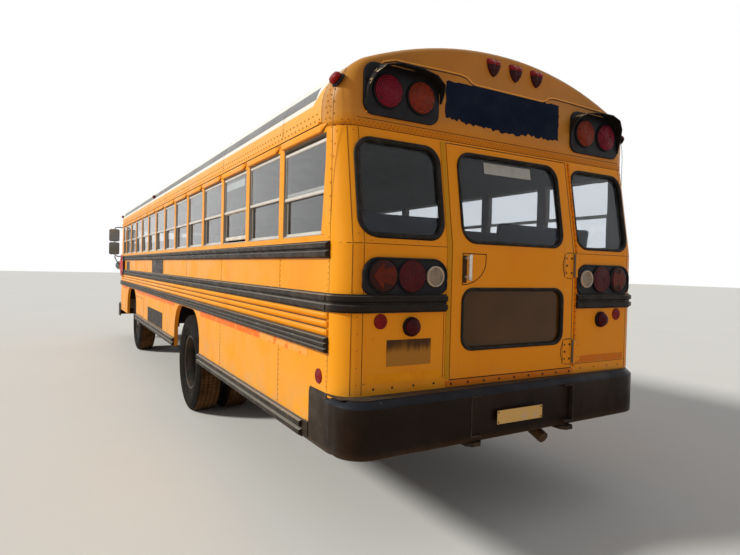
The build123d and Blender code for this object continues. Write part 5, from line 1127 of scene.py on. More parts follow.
def lamps():
    """All lenses, with their rims and screws."""
    red, bright, amber, arrow, dark, clear, rims, tail, feet, rim_highlight = (Piece() for _ in range(10))

    def rimmed(lens_piece, spot, direction, radius, depth, width, height):
        lamp(lens_piece, spot, direction, radius, depth)
        bezel(rims, spot, direction, radius, width, height)

    for side in SIDES:
        spot = at(TAIL_X, side * TURN_LAMP_Y, TAIL_Z)
        dark.lathe(dome(BIG_LENS, 0.0120), facing(spot, REARWARD), 36)
        bezel(rims, spot, REARWARD, BIG_LENS, 0.006, 0.009)
        points = [at(TAIL_X - 0.0105, side * TURN_LAMP_Y + side * a, TAIL_Z + b) for a, b in ARROW]
        arrow.plate(points, REARWARD, 0.0028, 0.001)
        rimmed(tail, at(TAIL_X, side * TAIL_LAMP_Y, TAIL_Z), REARWARD, BIG_LENS, 0.0135, 0.006, 0.009)
        spot = at(TAIL_X, side * REVERSE_LAMP_Y, TAIL_Z)
        lamp(clear, spot, REARWARD, 0.058, 0.0095)
        # Painted highlight: the reverse lamps' rims are pale, in place of light caught on them.
        bezel(rim_highlight, spot, REARWARD, 0.049, 0.010, 0.0140)
        spot = at(-PROUD, LEFT_LOW_LAMP_Y if side > 0 else RIGHT_LOW_LAMP_Y, LOW_LAMP_Z)
        lamp(tail, spot, REARWARD, 0.046, 0.058)
        bezel(rims, spot, REARWARD, 0.0465, 0.008, 0.020)
        y, z = REAR_REFLECTOR
        lamp(bright, at(-PROUD, side * y, z), REARWARD, 0.041, 0.010)
        lamp(bright, side_place(*SIDE_REFLECTOR, side, PROUD)[0], (0, side, 0), 0.042, 0.010)
    for x, sign in ((WARNING_X, -1), (BODY_LENGTH - FRONT_LEAN + REAR_LEAN - WARNING_X, 1)):
        for side in SIDES:
            for y, target in ((0.920, red), (0.700, amber)):
                rimmed(target, at(x, side * y, WARNING_Z), (sign, 0, 0), BIG_LENS, 0.028, 0.010, 0.012)
                for n in range(6):
                    a = math.pi * (n + 0.3) / 3
                    across, up = SCREW_CIRCLE * math.cos(a), SCREW_CIRCLE * math.sin(a)
                    screw = at(x + sign * 0.0175, side * y + across, WARNING_Z + up)
                    rivet(rims, screw, (sign, 0, 0), 0.005, 0.004)
    for side in SIDES:
        for y in HEADLAMPS_Y:
            spot = at(BODY_LENGTH + PROUD, side * y, HEADLAMP_Z)
            rimmed(clear, spot, FORWARD, 0.082, 0.030, 0.008, 0.016)
        y, z = FRONT_TURN_LAMP
        rimmed(amber, at(BODY_LENGTH + PROUD, side * y, z), FORWARD, 0.058, 0.024, 0.008, 0.012)
        markers(bright, amber, rims, side)
    clearance_lamps(bright, feet)
    red.make("lenses_red", "red", slot="lens_red", replaces=["lamps_red"])
    bright.make("lenses_bright_red", "bright_red", slot="lens_red")
    amber.make("lenses_amber", "amber", slot="lens_amber", replaces=["lamps_amber"])
    dark.make("lenses_dark_amber", "dark_amber", slot="lens_amber")
    arrow.make("turn_arrows", "arrow", slot="lens_amber")
    clear.make("lenses_clear", "clear", slot="lens_clear", replaces=["lamps_clear"])
    rims.make("lamp_rims", "lamp_black", slot="black_paint")
    rim_highlight.make("reverse_lamp_rims", "clear_rim", slot="lens_clear")
    tail.make("lenses_tail_red", "tail_red", slot="lens_red")
    feet.make("clearance_lamp_feet", "maroon", slot="lens_red")


def markers(red, amber, rims, side):
    """Marker lamps on the shoulder of the roof."""
    along = Vector(FORWARD)
    for x, z, size, target in ((0.18, 2.635, 1.35, red), (6.17, 2.60, 1.0, amber), (10.37, 2.60, 1.0, amber)):
        spot, normal = side_place(x, z, side)
        up = normal.cross(along) * side
        for piece, length, height, reach, lift in ((rims, 0.044 * size, 0.030 * size, 0.018, -0.012),
                                                   (target, 0.036 * size, 0.025 * size, 0.030, 0.006)):
            base = spot + normal * lift
            rings = []
            for share, out in ((1.0, 0.0), (1.0, 0.5), (0.75, 0.9), (0.4, 1.0)):
                ring = []
                for n in range(16):
                    a = 2 * math.pi * n / 16
                    ring.append(base + along * length * share * math.cos(a)
                                + up * height * share * math.sin(a) + normal * reach * out)
                rings.append(ring)
            piece.grid(rings, caps=True)


def clearance_lamps(red, feet):
    """Three tulip-shaped lamps at the top of each cap: a dark foot and a red faceted top."""
    for x, sign in ((REAR_LEAN, -1), (BODY_LENGTH - FRONT_LEAN, 1)):
        for y in CLEARANCE_Y:
            for target, shape in ((feet, CLEARANCE_FOOT), (red, CLEARANCE_TOP)):
                rings = []
                for half, rise, reach in shape:
                    ring = []
                    back = max(0.0, rise - 0.02) * 0.35
                    for n in range(13):
                        a = math.pi * n / 12
                        crease = 1 - 0.28 * math.exp(-((a - math.pi / 2) / 0.28) ** 2)
                        ring.append(at(x + sign * (reach * math.sin(a) * crease - 0.006 - back),
                                       y + half * math.cos(a), CLEARANCE_Z + rise))
                    rings.append(ring)
                target.grid(rings, smooth=False, caps=True)


# Lamp boxes and roof caps
VISOR = [(1.064, 2.500, 0.010), (1.058, 2.600, 0.035), (1.030, 2.672, 0.066), (0.974, 2.728, 0.088),
         (0.885, 2.752, 0.096), (0.755, 2.750, 0.096), (0.640, 2.730, 0.090), (0.572, 2.690, 0.070),
         (0.556, 2.640, 0.040), (0.556, 2.585, 0.012)]
VISOR_MIDDLE = Vector((0.80, 2.60))
VISOR_SHEET = 0.006
TAIL_PANEL = (0.549, 1.105, 1.479, 1.679)
TAIL_PANEL_MIDDLE = Vector((0.827, 1.579))


def housings():
    """Hooded boxes round the warning lamps, and the rimmed panels behind the tail lamps."""
    plates, hoods, panels = Piece(), Piece(), Piece()
    for x, sign in ((REAR_LEAN - PROUD, -1), (BODY_LENGTH - FRONT_LEAN + PROUD, 1)):
        for side in SIDES:
            outline = [at(x, side * y, z) for y, z in rounded(0.566, 1.070, 2.455, 2.74, 0.065)]
            plates.plate(outline, (sign, 0, 0), 0.0145, 0.003)
            base = x + sign * 0.010
            rings = []
            for y, z, reach in VISOR:
                inward = (VISOR_MIDDLE - Vector((y, z))).normalized() * VISOR_SHEET
                tip = base + sign * reach
                fall = reach * 0.20
                rings.append([at(base, side * y, z), at(tip, side * y, z - fall),
                              at(tip, side * (y + inward[0]), z - fall + inward[1]),
                              at(base, side * (y + inward[0]), z + inward[1])])
            hoods.grid(rings, smooth=False, caps=True)
    middle = TAIL_PANEL_MIDDLE
    for side in SIDES:
        outline = [p for p in rounded(*TAIL_PANEL, 0.096, 8) if p[1] > 1.55]
        outline += [p for p in rounded(*TAIL_PANEL, 0.050, 8) if p[1] < 1.55]
        outline.sort(key=lambda p: math.atan2(p[1] - middle.y, p[0] - middle.x))
        outline = [(side * y, z) for y, z in outline]
        panels.plate([at(-PROUD, y, z) for y, z in outline], REARWARD, 0.0105, 0.003)
        rim = [at(-0.010, middle.x * side + (y - middle.x * side) * 0.978, middle.y + (z - middle.y) * 0.94)
               for y, z in outline]
        section = [(-0.006, 0.0), (-0.004, 0.005), (0.004, 0.005), (0.006, 0.0)]
        panels.sweep(flat(rim[::side], REARWARD), section, smooth=True)
    plates.make("warning_lamp_plates", "lamp_black", slot="black_paint", replaces=["lamp_housings"])
    hoods.make("warning_lamp_hoods", "hood", slot="black_paint")
    panels.make("tail_lamp_panels", "lamp_black", slot="black_paint")


def section_points():
    """The body's outline over the roof: place, outward normal and share of the turn to its crown."""
    spots = [(HALF_WIDTH, z, 1.0, 0.0, 0.0) for z in steps_between(HEADER_Z, SHOULDER_Z, 0.03)[:-1]]
    middle = HALF_WIDTH - SHOULDER_RADIUS
    rise = ROOF_TOP - SHOULDER_Z
    crown = (middle ** 2 + rise ** 2 - SHOULDER_RADIUS ** 2) / (2 * (rise - SHOULDER_RADIUS))
    crown_z = ROOF_TOP - crown
    turn = math.atan2(SHOULDER_Z - crown_z, middle)
    for n in range(19):
        a = turn * n / 18
        spots.append((middle + SHOULDER_RADIUS * math.cos(a), SHOULDER_Z + SHOULDER_RADIUS * math.sin(a),
                      math.cos(a), math.sin(a), a / turn))
    for n in range(1, 12):
        a = turn + (math.pi / 2 - turn) * n / 12
        spots.append((crown * math.cos(a), crown_z + crown * math.sin(a), math.cos(a), math.sin(a), 1.0))
    spots.append((0.0, ROOF_TOP, 0.0, 1.0, 1.0))
    return spots + [(-y, z, -ny, nz, t) for y, z, ny, nz, t in reversed(spots[:-1])]


CAP_FRONT_X = 0.30
CROWN_EDGE = 0.045
CAP_SHEET = 0.044


def rear_cap():
    """The rear roof cap: broad round corners at its sides and a tight edge along its crown."""
    piece = Piece()
    outline = section_points()
    turns = [math.pi / 2 * n / 8 for n in range(9)]

    def ring(angle, sheet):
        """The outline at one turn of the rounded edge, on the outside or a sheet further in."""
        points = []
        for y, z, ny, nz, share in outline:
            radius = REAR_CORNER + (CROWN_EDGE - REAR_CORNER) * share * share * (3 - 2 * share)
            inward = radius * (1 - math.cos(angle)) + sheet * math.cos(angle)
            x = REAR_LEAN + radius * (1 - math.sin(angle)) + sheet * math.sin(angle)
            points.append(at(x, y - ny * inward, max(z - nz * inward, HEADER_Z)))
        return points

    def skin(sheet):
        """One face of the cap's sheet, from its front edge to the middle of its rear face."""
        front = [at(CAP_FRONT_X, y - ny * sheet, z - nz * sheet) for y, z, ny, nz, _ in outline]
        middle = [at(REAR_LEAN + sheet, 0, HEADER_Z + 0.2)] * len(outline)
        return [front] + [ring(a, sheet) for a in turns] + [middle]

    outer = skin(0.0)
    inner = skin(CAP_SHEET)
    for rows in (outer, inner, [outer[0], inner[0]]):
        piece.grid(rows, closed=False)
    for end in (0, -1):
        piece.grid([[row[end] for row in outer], [row[end] for row in inner]], closed=False)
    for rows in (outer, inner):
        piece.add([rows[-2][0], rows[-2][-1], rows[-1][0]], [(0, 1, 2)], True)
    piece.add([outer[-2][0], outer[-2][-1], inner[-2][-1], inner[-2][0]], [(0, 1, 2, 3)])
    piece.make("rear_roof_cap", "cap", slot="body_yellow", replaces=["rear_cap"])


RIDGE_HALF = [(1.043, 2.46), (1.050, 2.60), (1.018, 2.68), (0.944, 2.757), (0.867, 2.781), (0.72, 2.784),
              (0.55, 2.790), (0.40, 2.792), (0.355, 2.785), (0.32, 2.762), (0.29, 2.752), (0.10, 2.752)]
PATCH_CORNERS = [(-0.452, 2.508), (0.512, 2.520), (0.508, 2.738), (-0.452, 2.752)]
PATCH_MIDDLE_Z = 2.6


def cap_relief():
    """The raised line round the lamps and the sign's place on both caps."""
    ridge, shade = Piece(), Piece()
    line = RIDGE_HALF + [(-y, z) for y, z in reversed(RIDGE_HALF)]
    section = [(-0.008, -0.001), (-0.004, 0.005), (0.004, 0.005), (0.008, -0.001)]
    under = [(-0.0025, 0), (-0.0025, 0.0006), (0.0025, 0.0006), (0.0025, 0)]
    for place in (rear_place, front_place):
        ridge.sweep([place(y, z) for y, z in line], section, closed=False, smooth=True)
        shade.sweep([place(y, z - 0.008, 0.0004) for y, z in line[3:-3]], under, closed=False)
    ridge.make("cap_ridges", "body", slot="body_yellow")
    shade.make("cap_ridge_shade", "groove", slot="body_yellow")


def sprayed_patches():
    """The hand-sprayed patch on the sign's place of both caps, ragged along its lower edge."""
    patch = Piece()
    chance = random.Random(5)
    outline = []
    for (y0, z0), (y1, z1) in zip(PATCH_CORNERS, PATCH_CORNERS[1:] + PATCH_CORNERS[:1]):
        count = max(4, round(math.hypot(y1 - y0, z1 - z0) / 0.018))
        lower_edge = max(z0, z1) < PATCH_MIDDLE_Z
        wobble = 0.010 if lower_edge else 0.0045
        for n in range(count):
            t = n / count
            sag = 0.015 if lower_edge and 0.3 < t < 0.85 else 0
            y = y0 + (y1 - y0) * t + chance.uniform(-1, 1) * 0.004
            z = z0 + (z1 - z0) * t + chance.uniform(-1, 1) * wobble - sag
            outline.append((y, z))
    for place, normal in ((rear_place, REARWARD), (front_place, FORWARD)):
        patch.plate([place(y, z, 0.0002)[0] for y, z in outline], normal, 0.0012)
    patch.make("sprayed_patches", "navy", slot="black_paint")


# Rear bumper
BUMPER_LOW = 0.636
BUMPER_BEND = 0.903
BUMPER_OUT = 0.125
BUMPER_OUT_RIGHT = 0.066
BUMPER_SIDE = 1.234
BUMPER_FRONT_X = 0.378
BUMPER_PLATE_X = 0.148
BUMPER_CORNERS = ((1, 0.155), (-1, 0.215))
BODY_SIDE = 1.2195
END_PLATE_OUT = 1.2255
END_PLATE_TOP = 0.905
WEDGE_IN = 1.2192
WEDGE_TOP = 0.937
BUMPER_SECTION = [
    (0.0, BUMPER_LOW + 0.006), (-0.006, BUMPER_LOW), (-0.016, BUMPER_LOW), (-0.016, 0.890), (-0.045, 0.926),
    (-0.060, 0.932), (-0.060, 0.9365), (-0.040, 0.9360), (-0.034, 0.9330), (-0.003, BUMPER_BEND + 0.002),
    (0.0, BUMPER_BEND - 0.004),
]


def bumper_path():
    """The bumper's face seen from above: places round both corners, each with its direction outward."""
    def reach_at(y):
        """How far the face stands behind the body at a place across it."""
        return BUMPER_OUT + (BUMPER_OUT_RIGHT - BUMPER_OUT) * clamp((0.25 - y) / 1.3, 0, 1) ** 1.3

    ends = []
    for side, radius in BUMPER_CORNERS:
        reach = reach_at(side * 1.2)
        run = [(x, side * BUMPER_SIDE, 0.0, side) for x in steps_between(radius - reach, 0.150, 0.05)[::-1]]
        for n in range(1, 13):
            a = math.pi / 2 * n / 12
            y = side * (BUMPER_SIDE - radius * (1 - math.cos(a)))
            run.append((-reach + radius * (1 - math.sin(a)), y, -math.sin(a), side * math.cos(a)))
        ends.append(run)
    left, right = ends
    straight = [(-reach_at(y), y, -1.0, 0.0) for y in steps_between(left[-1][1], right[-1][1], 0.15)[1:-1]]
    return left + straight + right[::-1]


def bumper_lid(path):
    """The flat sheet that closes the gap between the bumper's upper edge and the body."""
    lid = Piece()
    rings = []
    for x, y, nx, ny in path:
        past = clamp((abs(y) - (HALF_WIDTH - REAR_CORNER)) / REAR_CORNER, 0, 1)
        body_x = REAR_CORNER * (1 - math.sqrt(max(0.0, 1 - past * past))) if x < REAR_CORNER else x
        beside = abs(y) >= BUMPER_SIDE - 0.001
        inner = at(x if beside else max(body_x, x) + 0.0005, clamp(y, -BODY_SIDE, BODY_SIDE), 0.0)
        outer = at(x - nx * 0.036, y - ny * (0.036 if abs(y) < BUMPER_SIDE - 0.02 else 0.008), 0.0)
        heights = ((inner, 0.939), (outer, 0.9375), (outer, 0.9335), (inner, 0.934))
        rings.append([spot + Vector((0, 0, z)) for spot, z in heights])
    lid.grid(rings, smooth=False, caps=True)
    lid.make("bumper_lid", "lid", slot="black_paint")


def rear_bumper():
    """The bevelled band round both corners, pushed in toward its right end, with end plates and a lid."""
    path = bumper_path()
    face = Piece()
    rings = [[at(x + nx * out, y + ny * out, z) for out, z in BUMPER_SECTION] for x, y, nx, ny in path]
    face.grid(rings, caps=True)
    face.make("bumper_band", "bumper", slot="black_paint", replaces=["rear_bumper"])
    bumper_lid(path)
    plates = Piece()
    wedge = ((END_PLATE_OUT, END_PLATE_TOP), (BODY_SIDE, WEDGE_TOP), (WEDGE_IN, WEDGE_TOP),
             (WEDGE_IN, END_PLATE_TOP))
    wedge_faces = [(0, 1, 3, 2), (2, 3, 5, 4), (4, 5, 7, 6), (6, 7, 1, 0), (0, 2, 4, 6), (1, 7, 5, 3)]
    for side in SIDES:
        low, high = sorted((side * BODY_SIDE, side * END_PLATE_OUT))
        plates.block(at(BUMPER_PLATE_X, low, 0.64), at(BUMPER_FRONT_X, high, END_PLATE_TOP), 0.001)
        points = [at(x, side * y, z) for y, z in wedge for x in (BUMPER_PLATE_X, BUMPER_FRONT_X)]
        plates.add(points, wedge_faces)
    plates.make("bumper_end_plates", "end_plate", slot="black_paint")


# Strips, plates and door fittings
BUMPER_PLATE = (-0.124, 0.245, 0.722, 0.802)
BUMPER_PLATE_INSET = 0.010
GLASS_LABEL = (-0.195, 0.205, 2.222, 2.292)
TAPE_Z = (1.101, 1.151)
LOW_STRIP = (-0.535, 0.535, 0.945, 0.977)
RIGHT_STRIP = (-1.068, -0.57, 1.010, 1.056)
LEFT_STRIP = (0.57, 1.066, 1.000, 1.050)
RESIDUE = (0.648, 0.943, 1.087, 1.231)
BLANK_PANEL = (5.27, 6.22, 1.4815, 1.665)
FRONT_PANEL = (8.95, 9.45, 1.4815, 1.645)
SLATTED_PANEL = (5.27, 6.55, 0.732, 0.95)
WINDOW_LABEL_Z = (2.245, 2.305)


def strips():
    """Tapes, blank plates and patches on the rear and the sides."""
    orange, bright, tape, streaks, plate = (Piece() for _ in range(5))
    bolts, black, slats, label, side_label = (Piece() for _ in range(5))

    def rear_sheet(piece, y0, y1, z0, z1, thickness=0.0012, out=PROUD):
        """A thin sheet on the rear face."""
        normal = rear_place((y0 + y1) / 2, (z0 + z1) / 2)[1]
        piece.plate([rear_place(y, z, out)[0] for y, z in rectangle(y0, y1, z0, z1)], normal, thickness)

    def side_sheet(piece, x0, x1, z0, z1, side=1, thickness=0.0012):
        """A thin sheet on a side."""
        corners = rectangle(x0, x1, z0, z1)
        piece.plate([side_place(x, z, side, PROUD)[0] for x, z in corners], (0, side, 0), thickness)

    def rear_bolts(across, z, out, radius, height):
        """Bolts in a level row on the rear face."""
        for y in across:
            rivet(bolts, *rear_place(y, z, out), radius, height)

    rear_sheet(orange, *LOW_STRIP, 0.006)
    rear_bolts(steps_between(-0.50, 0.50, 0.125), 0.961, 0.006, 0.009, 0.005)
    rear_sheet(orange, *RIGHT_STRIP)
    rear_sheet(bright, *LEFT_STRIP)
    for y in (0.62, 0.76, 0.90, 1.02):
        rear_bolts([y], 0.972, 0.0, 0.008, 0.004)
        rear_bolts([-y], 0.972, 0.0, 0.006, 0.003)
    rear_sheet(streaks, *RESIDUE)
    rear_bolts((0.70, 0.89), 1.218, 0.001, 0.005, 0.003)
    corners = rectangle(*BUMPER_PLATE)
    plate.plate([at(-BUMPER_OUT - 0.0005, y, z) for y, z in corners], REARWARD, 0.0015)
    y0, y1, z0, z1 = BUMPER_PLATE
    for y in (y0 + BUMPER_PLATE_INSET, y1 - BUMPER_PLATE_INSET):
        for z in (z0 + BUMPER_PLATE_INSET, z1 - BUMPER_PLATE_INSET):
            rivet(bolts, at(-BUMPER_OUT - 0.002, y, z), REARWARD, 0.006, 0.003)
    for side in SIDES:
        side_sheet(tape, 0.42, 3.085, *TAPE_Z, side)
        side_sheet(tape, 4.455, 7.885, *TAPE_Z, side)
        side_sheet(black, *BLANK_PANEL, side)
    side_sheet(tape, 9.24, 10.10, *TAPE_Z)
    side_sheet(black, *FRONT_PANEL)
    side_sheet(slats, *SLATTED_PANEL, thickness=0.004)
    spots = [rear_place(y, z, -0.0160) for y, z in rectangle(*GLASS_LABEL)]
    label.plate([p for p, _ in spots], spots[0][1], 0.0006)
    x0, x1 = windows(1)[PUSH_OUT_BAY]
    corners = rectangle(x0 + 0.06, x1 - 0.05, *WINDOW_LABEL_Z)
    side_label.plate([at(x, 1.2073, z) for x, z in corners], (0, 1, 0), 0.0006)
    orange.make("orange_strips", "orange", slot="body_yellow")
    bright.make("yellow_strip", "bright_yellow", slot="body_yellow")
    tape.make("reflective_tape", "tape", slot="lens_amber")
    streaks.make("residue_patch", "streaks", slot="body_yellow")
    plate.make("blank_plate", "plate", slot="bare_steel")
    bolts.make("bolts", "bolt", slot="bare_steel")
    black.make("blank_panels", "black", slot="black_paint")
    slats.make("slatted_panel", "slats", slot="black_paint")
    label.make("door_label", "label", DOOR, "bare_steel")
    side_label.make("window_label", "label", slot="bare_steel")


def corner_fillers():
    """Slanted fillers at the rear of the first windows, and the brackets that end the skirt rails."""
    filler, bracket = Piece(), Piece()
    sliver = ((0.226, 1.799), (0.276, 1.799), (0.262, 1.90), (0.234, 2.22), (0.226, 2.25))
    rail_end = ((0.379, 0.640), (0.460, 0.624), (0.460, 0.722), (0.430, 0.728), (0.379, 0.728))
    for side in SIDES:
        filler.plate([at(x, side * 1.2145, z) for x, z in sliver], (0, side, 0), 0.003, 0.0008)
        bracket.plate([at(x, side * BODY_SIDE, z) for x, z in rail_end], (0, side, 0), 0.010, 0.002)
    filler.make("window_fillers", "body", slot="body_yellow")
    bracket.make("rail_end_brackets", "end_plate", slot="black_paint")


HANDLE_Y = 0.41
HANDLE_OUT = -0.045
HANDLE = [(0.0, 0.0), (0.009, 0.001), (0.0125, 0.006), (0.0115, 0.03), (0.0115, 0.125), (0.0125, 0.149),
          (0.009, 0.154), (0.0, 0.155)]
HINGE_SPANS = ((1.015, 1.170), (1.589, 1.745))
EAR_SPANS = ((1.010, 1.175), (1.584, 1.750))
KNUCKLE_SPANS = ((0.99, 1.010), (1.176, 1.584), (1.750, 2.372))


def door_handle():
    """The chrome grip on its two stems, the dark plate behind it and the line of its recess."""
    chrome, shade, recess = Piece(), Piece(), Piece()
    chrome.lathe(HANDLE, facing(at(HANDLE_OUT, HANDLE_Y, 1.5575), (0, 0, 1)), 16)
    for z in (1.690, 1.580):
        chrome.tube([at(x, HANDLE_Y, z) for x in (0.0, -0.022, HANDLE_OUT)], 0.0105, 12)
    outline = rounded(0.398, 0.4285, 1.545, 1.706, 0.008, 3)
    shade.plate([at(-0.0004, y, z) for y, z in outline], REARWARD, 0.0008)
    curve = [(0.43, 1.718), (0.25, 1.718)]
    for n in range(1, 9):
        a = math.pi / 2 * n / 8
        curve.append((0.43 - 0.18 * math.cos(a), 1.680 - 0.146 * math.sin(a)))
    section = [(-0.003, -0.001), (-0.002, 0.0018), (0.002, 0.0018), (0.003, -0.001)]
    recess.sweep(flat([at(0, y, z) for y, z in curve], REARWARD), section)
    shade.make("handle_shadow_plate", "groove", DOOR, "body_yellow")
    return chrome, recess


def hinge_ears(bolts):
    """The door's halves of its strap hinges, with a dark line round them."""
    ears, ear_shade = Piece(), Piece()
    for low, high in EAR_SPANS:
        for target, grow, out, thickness in ((ear_shade, 0.004, 0.0006, 0.0010), (ears, 0.0, 0.0010, 0.0022)):
            outline = [(-0.516, low - grow), (-0.470 + grow, low - grow), (-0.440 + grow, low + 0.022),
                       (-0.426 + grow, low + 0.060), (-0.426 + grow, high - 0.060),
                       (-0.440 + grow, high - 0.022), (-0.470 + grow, high + grow), (-0.516, high + grow)]
            target.plate([at(-out, y, z) for y, z in outline], REARWARD, thickness)
        for z in (low + 0.035, high - 0.035, (low + high) / 2):
            rivet(bolts, at(-0.0032, -0.452, z), REARWARD, 0.009, 0.005)
    ears.make("hinge_ears", "body", DOOR, "body_yellow")
    ear_shade.make("hinge_ear_shade", "groove", DOOR, "body_yellow")


def upright_strip(piece, y0, y1, z0, z1, thickness):
    """A narrow strip up the rear face, following its lean."""
    bend = [z for z in (REAR_BEND_Z - 0.001, REAR_BEND_Z + 0.001) if z0 < z < z1]
    rings = []
    for z in [z0] + bend + [z1]:
        ring = [rear_place(y, z, PROUD)[0] for y in (y0, y1)]
        rings.append(ring + [rear_place(y, z, PROUD + thickness)[0] for y in (y1, y0)])
    piece.grid(rings, smooth=False, caps=True)


def emergency_door_fittings():
    """Handle with its recess, strap bolts, side seal and hinge strip."""
    chrome, recess = door_handle()
    bolts, seal, knuckles, plates = (Piece() for _ in range(4))
    for low, high in HINGE_SPANS:
        for y, z in ((-0.500, low + 0.03), (-0.500, high - 0.03), (-0.455, (low + high) / 2)):
            rivet(bolts, at(-0.006, y, z), REARWARD, 0.009, 0.005)
    hinge_ears(bolts)
    chrome.make("door_handle", "chrome", DOOR, "bare_steel")
    recess.make("handle_recess", "groove", DOOR, "body_yellow")
    bolts.make("strap_bolts", "bolt", DOOR, "bare_steel")
    upright_strip(seal, 0.516, 0.546, 0.99, 2.372, 0.004)
    for low, high in KNUCKLE_SPANS:
        upright_strip(knuckles, -0.556, -0.542, low, high, 0.008)
    seal.make("door_seal", "seal", slot="body_yellow")
    knuckles.make("hinge_strip", "knuckles", slot="body_yellow")
    for low, high in HINGE_SPANS:
        outline = [(-0.548, low), (-0.600, low + 0.012), (-0.612, low + 0.04), (-0.612, high - 0.04),
                   (-0.600, high - 0.012), (-0.548, high)]
        plates.plate([at(-0.0004, y, z) for y, z in outline], REARWARD, 0.004, 0.0012)
        for z in (low + 0.035, high - 0.035):
            rivet(plates, at(-0.0044, -0.585, z), REARWARD, 0.008, 0.004)
    plates.make("hinge_plates", "body", slot="body_yellow")


# Wheels
TYRE_HALF = [
    (0.2905, 0.0985), (0.3000, 0.1075), (0.3080, 0.1120), (0.3160, 0.1160), (0.3240, 0.1185),
    (0.3280, 0.1225), (0.3340, 0.1228), (0.3380, 0.1200), (0.3600, 0.1290), (0.3850, 0.1355),
    (0.4080, 0.1385), (0.4300, 0.1375), (0.4480, 0.1345), (0.4520, 0.1372), (0.4600, 0.1365),
    (0.4640, 0.1325), (0.4780, 0.1290), (0.4860, 0.1290), (0.4980, 0.1230), (0.5100, 0.1165),
    (0.5190, 0.1090),
]
TREAD_HALF = [
    (0.5225, 0.1020), (0.5232, 0.0740), (0.5140, 0.0715), (0.5140, 0.0665), (0.5234, 0.0640),
    (0.5237, 0.0270), (0.5145, 0.0245), (0.5145, 0.0195), (0.5238, 0.0170), (0.5240, 0.0000),
]
TREAD_EDGE = 0.102
SIPES_AROUND = 90
RIM_HALF = [
    (0.2745, 0.0985), (0.2760, 0.1060), (0.2860, 0.1095), (0.2965, 0.1085), (0.2972, 0.1030),
    (0.2885, 0.0985), (0.2868, 0.0880), (0.2760, 0.0700), (0.2620, 0.0400), (0.2600, 0.0),
]
RIM_BORE = [(0.2640, -0.0700), (0.2500, -0.0400), (0.2490, 0.0), (0.2500, 0.0400), (0.2640, 0.0700)]
DISC_INNER = 0.086
DISC_OUTER = 0.252
HAND_HOLES = 5
NUT_CIRCLE = 0.143
NUTS = 10
NUT_HEIGHT = 0.030
REAR_HUB = [(0.110, -0.10), (0.110, 0.0), (0.094, 0.012), (0.088, 0.10), (0.098, 0.108), (0.098, 0.124),
            (0.072, 0.130), (0.066, 0.150), (0.040, 0.160), (0.0, 0.162)]
FRONT_HUB = [(0.094, 0.0), (0.094, 0.070), (0.084, 0.080), (0.078, 0.112), (0.056, 0.122), (0.0, 0.1245)]


def tyre(piece, x, y, steps=72):
    """A tyre with ringed sidewalls and a grooved tread, round its axle."""
    half = TYRE_HALF + TREAD_HALF
    profile = half + [(r, -h) for r, h in reversed(half[:-1])]
    lows = len(TYRE_HALF)
    total = len(profile)
    row = steps + 1
    points, faces, uv = [], [], []
    for k, (radius, offset) in enumerate(profile):
        across = (offset + TREAD_EDGE) / (2 * TREAD_EDGE) if lows <= k < total - lows else -1.0
        for n in range(row):
            a = 2 * math.pi * n / steps
            points.append(at(x, 0, AXLE_Z) + Vector((radius * math.sin(a), y + offset, radius * math.cos(a))))
            uv.append((SIPES_AROUND * n / steps, across))
    for k in range(total - 1):
        for n in range(steps):
            faces.append((k * row + n, k * row + n + 1, (k + 1) * row + n + 1, (k + 1) * row + n))
    piece.add(points, faces, True, uv)


def holed_disc(piece, place, profile, hole_radii, thickness=0.011, steps=60):
    """A wheel disc with hand holes; profile gives the height for a radius."""
    radii = [DISC_INNER + (DISC_OUTER - DISC_INNER) * n / 8 for n in range(9)]
    radii = sorted(radii + list(hole_radii))
    count = len(radii)
    per_hole = steps // HAND_HOLES
    top = [p for r in radii for p in circle(place, r, steps, profile(r))]
    bottom = [p for r in radii for p in circle(place, r, steps, profile(r) - thickness)]

    def open_cell(k, n):
        """Whether a cell between two radii lies in a hand hole."""
        middle = (radii[k] + radii[k + 1]) / 2
        return hole_radii[0] < middle < hole_radii[1] and n % per_hole < per_hole // 2

    shift = count * steps
    faces = []

    def wall(i, j):
        """One side of a hand hole, from the upper face to the lower one."""
        faces.append((i, j, j + shift, i + shift))

    for k in range(count - 1):
        for n in range(steps):
            m = (n + 1) % steps
            a, b, c, d = k * steps + n, k * steps + m, (k + 1) * steps + m, (k + 1) * steps + n
            if not open_cell(k, n):
                faces.append((a, b, c, d))
                faces.append((d + shift, c + shift, b + shift, a + shift))
                continue
            if not open_cell(k, (n - 1) % steps):
                wall(a, d)
            if not open_cell(k, m):
                wall(c, b)
            if k == 0 or not open_cell(k - 1, n):
                wall(b, a)
            if k == count - 2 or not open_cell(k + 1, n):
                wall(d, c)
    piece.add(top + bottom, faces)


def studs(piece, place):
    """A ring of wheel nuts on their studs."""
    for n in range(NUTS):
        a = 2 * math.pi * n / NUTS
        centre = place @ Matrix.Translation((NUT_CIRCLE * math.cos(a), NUT_CIRCLE * math.sin(a), 0))
        nut = [(0.0165, 0.0), (0.0165, 0.006), (0.014, NUT_HEIGHT), (0.0, NUT_HEIGHT)]
        piece.lathe(nut, centre, 6, False)
        stud = [(0.008, NUT_HEIGHT), (0.008, NUT_HEIGHT + 0.012), (0.0, NUT_HEIGHT + 0.013)]
        piece.lathe(stud, centre, 8, False)


def barrel(piece, place, steps=56):
    """A rim's barrel with lips, seats and well, round local Z."""
    outline = RIM_HALF + [(r, -h) for r, h in reversed(RIM_HALF[:-1])] + RIM_BORE
    piece.lathe(outline + outline[:1], place, steps)


def rear_disc(radius):
    """The height of a rear disc, dished toward its rim."""
    return 0.012 + 0.085 * clamp((radius - 0.205) / 0.047, 0, 1) ** 0.8


def front_disc(radius):
    """The height of a front disc, bulging outward."""
    return 0.066 + 0.026 * clamp((radius - 0.10) / 0.09, 0, 1) - 0.03 * clamp((radius - 0.205) / 0.047, 0, 1)


